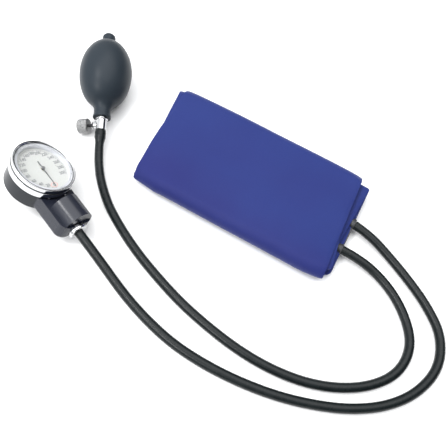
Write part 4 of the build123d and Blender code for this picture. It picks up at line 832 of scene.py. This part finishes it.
# Each number stands upright, with its foot towards the hose, on a circle at the angle of its reading
number_size = 0.0033
number_circle = 0.0141
number_boldness = 0.00009
numbers = []
for value in range(0, last_reading + 1, 20):
    text = bpy.data.curves.new("number", "FONT")
    text.body = str(value)
    text.size = number_size
    text.align_x = "CENTER"
    text.align_y = "CENTER"
    text.extrude = print_height / 2
    text.offset = number_boldness
    text_object = linked("number", text)
    bpy.context.view_layer.update()
    number_mesh = bpy.data.meshes.new_from_object(
        text_object.evaluated_get(bpy.context.evaluated_depsgraph_get()))
    bpy.data.objects.remove(text_object)
    flat = np.empty(len(number_mesh.vertices) * 3)
    number_mesh.vertices.foreach_get("co", flat)
    glyph = flat.reshape(-1, 3)
    number_angle = -np.radians(value)
    on_dial = np.stack((-glyph[:, 1] + number_circle * np.cos(number_angle),
                        glyph[:, 0] + number_circle * np.sin(number_angle),
                        glyph[:, 2] + dial_top + print_height / 2), -1)
    number_mesh.vertices.foreach_set("co", (gauge_origin + on_dial @ gauge_axes).ravel())
    numbers.append(linked("number", number_mesh))
numbers = joined("dial_numbers", numbers)
numbers.data.materials.clear()
numbers.data.materials.append(print_ink)
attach(numbers, "root")

# The ring round the zero is the band between 0.92 and 1.08 times an ellipse
mark_points = 64
mark_half_depth = 0.0017
mark_half_breadth = 0.0026
mark_angle = circle(mark_points)
mark_profile = np.array([(0.92, 0.0), (1.08, 0.0), (1.08, print_height), (0.92, print_height)])
mark_local = np.stack((number_circle + mark_half_depth * mark_profile[:, :1] * np.cos(mark_angle),
                       mark_half_breadth * mark_profile[:, :1] * np.sin(mark_angle),
                       np.repeat(dial_top + mark_profile[:, 1:], mark_points, 1)), -1)
zero_mark = surface("zero_mark", gauge_origin + mark_local @ gauge_axes, close_rows=True,
                    close_columns=True)
zero_mark.data.materials.append(
    grained("dial_red_print", (0.62, 0.22, 0.20), (0.70, 0.28, 0.25), patch=300.0, rough=0.6))
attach(zero_mark, "root")

# POINTER
# Stamped blade on a pressed hub, painted matt black and pushed on the end of the pinion's arbor.
# It keeps its CAD shape.
pointer_paint = grained("pointer_paint", (0.10, 0.10, 0.105), (0.14, 0.14, 0.145), patch=300.0, rough=0.5)
paint(["pointer"], pointer_paint)

# LENS
# Clear moulded disc, held down on its gasket by the bezel's lip. It keeps its CAD shape.
# Light for shadows passes straight through it.
lens_material, lens_tree, lens_shader = new_material("clear_lens")
lens_shader.inputs["Base Color"].default_value = (0.97, 0.985, 0.98, 1)
lens_shader.inputs["Transmission Weight"].default_value = 1.0
lens_shader.inputs["IOR"].default_value = 1.45
lens_place = add_node(lens_tree, "ShaderNodeTexCoord")
lens_haze = add_node(lens_tree, "ShaderNodeTexNoise",
                     {"Vector": lens_place.outputs["Object"], "Scale": 220.0})
lens_rough = add_node(lens_tree, "ShaderNodeMapRange",
                      {"Value": lens_haze.outputs["Fac"], "From Min": 0.45, "To Min": 0.0, "To Max": 0.05})
lens_tree.links.new(lens_rough.outputs[0], lens_shader.inputs["Roughness"])
light_path = add_node(lens_tree, "ShaderNodeLightPath")
passing = add_node(lens_tree, "ShaderNodeBsdfTransparent")
lens_mix = add_node(lens_tree, "ShaderNodeMixShader", {0: light_path.outputs["Is Shadow Ray"],
                                                       1: lens_shader.outputs[0], 2: passing.outputs[0]})
lens_tree.links.new(lens_mix.outputs[0], lens_tree.nodes["Material Output"].inputs["Surface"])
paint(["lens"], lens_material)

# BEZEL
# Polished chromed brass ring pressed over the case's mouth, rolled inwards over the lens.
# A narrow groove runs round it under the lip, painted dark inside as painted shade.
bezel_profile = rounded([(0.02065, 0.01355, 0.0002), (0.0222, 0.01355, 0.0005), (0.0224, 0.0150, 0.0004),
                         (0.0224, 0.0184, 0.0002), (0.0213, 0.0186, 0.0001), (0.0213, 0.0194, 0.0001),
                         (0.0222, 0.0195, 0.0002), (0.0222, 0.0225, 0.0009), (0.0212, 0.0224, 0.0005),
                         (0.0203, 0.0213, 0.0002), (0.0203, 0.0211, 0.0001), (0.02065, 0.0211, 0.0001)])
bezel = turned("bezel_ring", bezel_profile, gauge_origin, gauge_axes, 160, sharp=45.0)
bezel.data.materials.append(chrome)
bezel.data.materials.append(black_metal_and_groove_shade)

# Faces between the groove's two levels and inside its mouth get the dark finish: painted shade in the
# groove
groove_from = 0.0185
groove_to = 0.01945
groove_mouth = 0.0222
bezel_faces = bezel.data.polygons
face_centres = np.empty(3 * len(bezel_faces))
bezel_faces.foreach_get("center", face_centres)
from_centre = face_centres.reshape(-1, 3) - gauge_origin
face_level = from_centre @ dial_axis
face_reach = np.linalg.norm(from_centre - face_level[:, None] * dial_axis, axis=1)
groove_painted_shade = (face_level > groove_from) & (face_level < groove_to) & (face_reach < groove_mouth)
bezel_faces.foreach_set("material_index", groove_painted_shade.astype(np.int32))
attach(bezel, "root")
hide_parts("bezel")
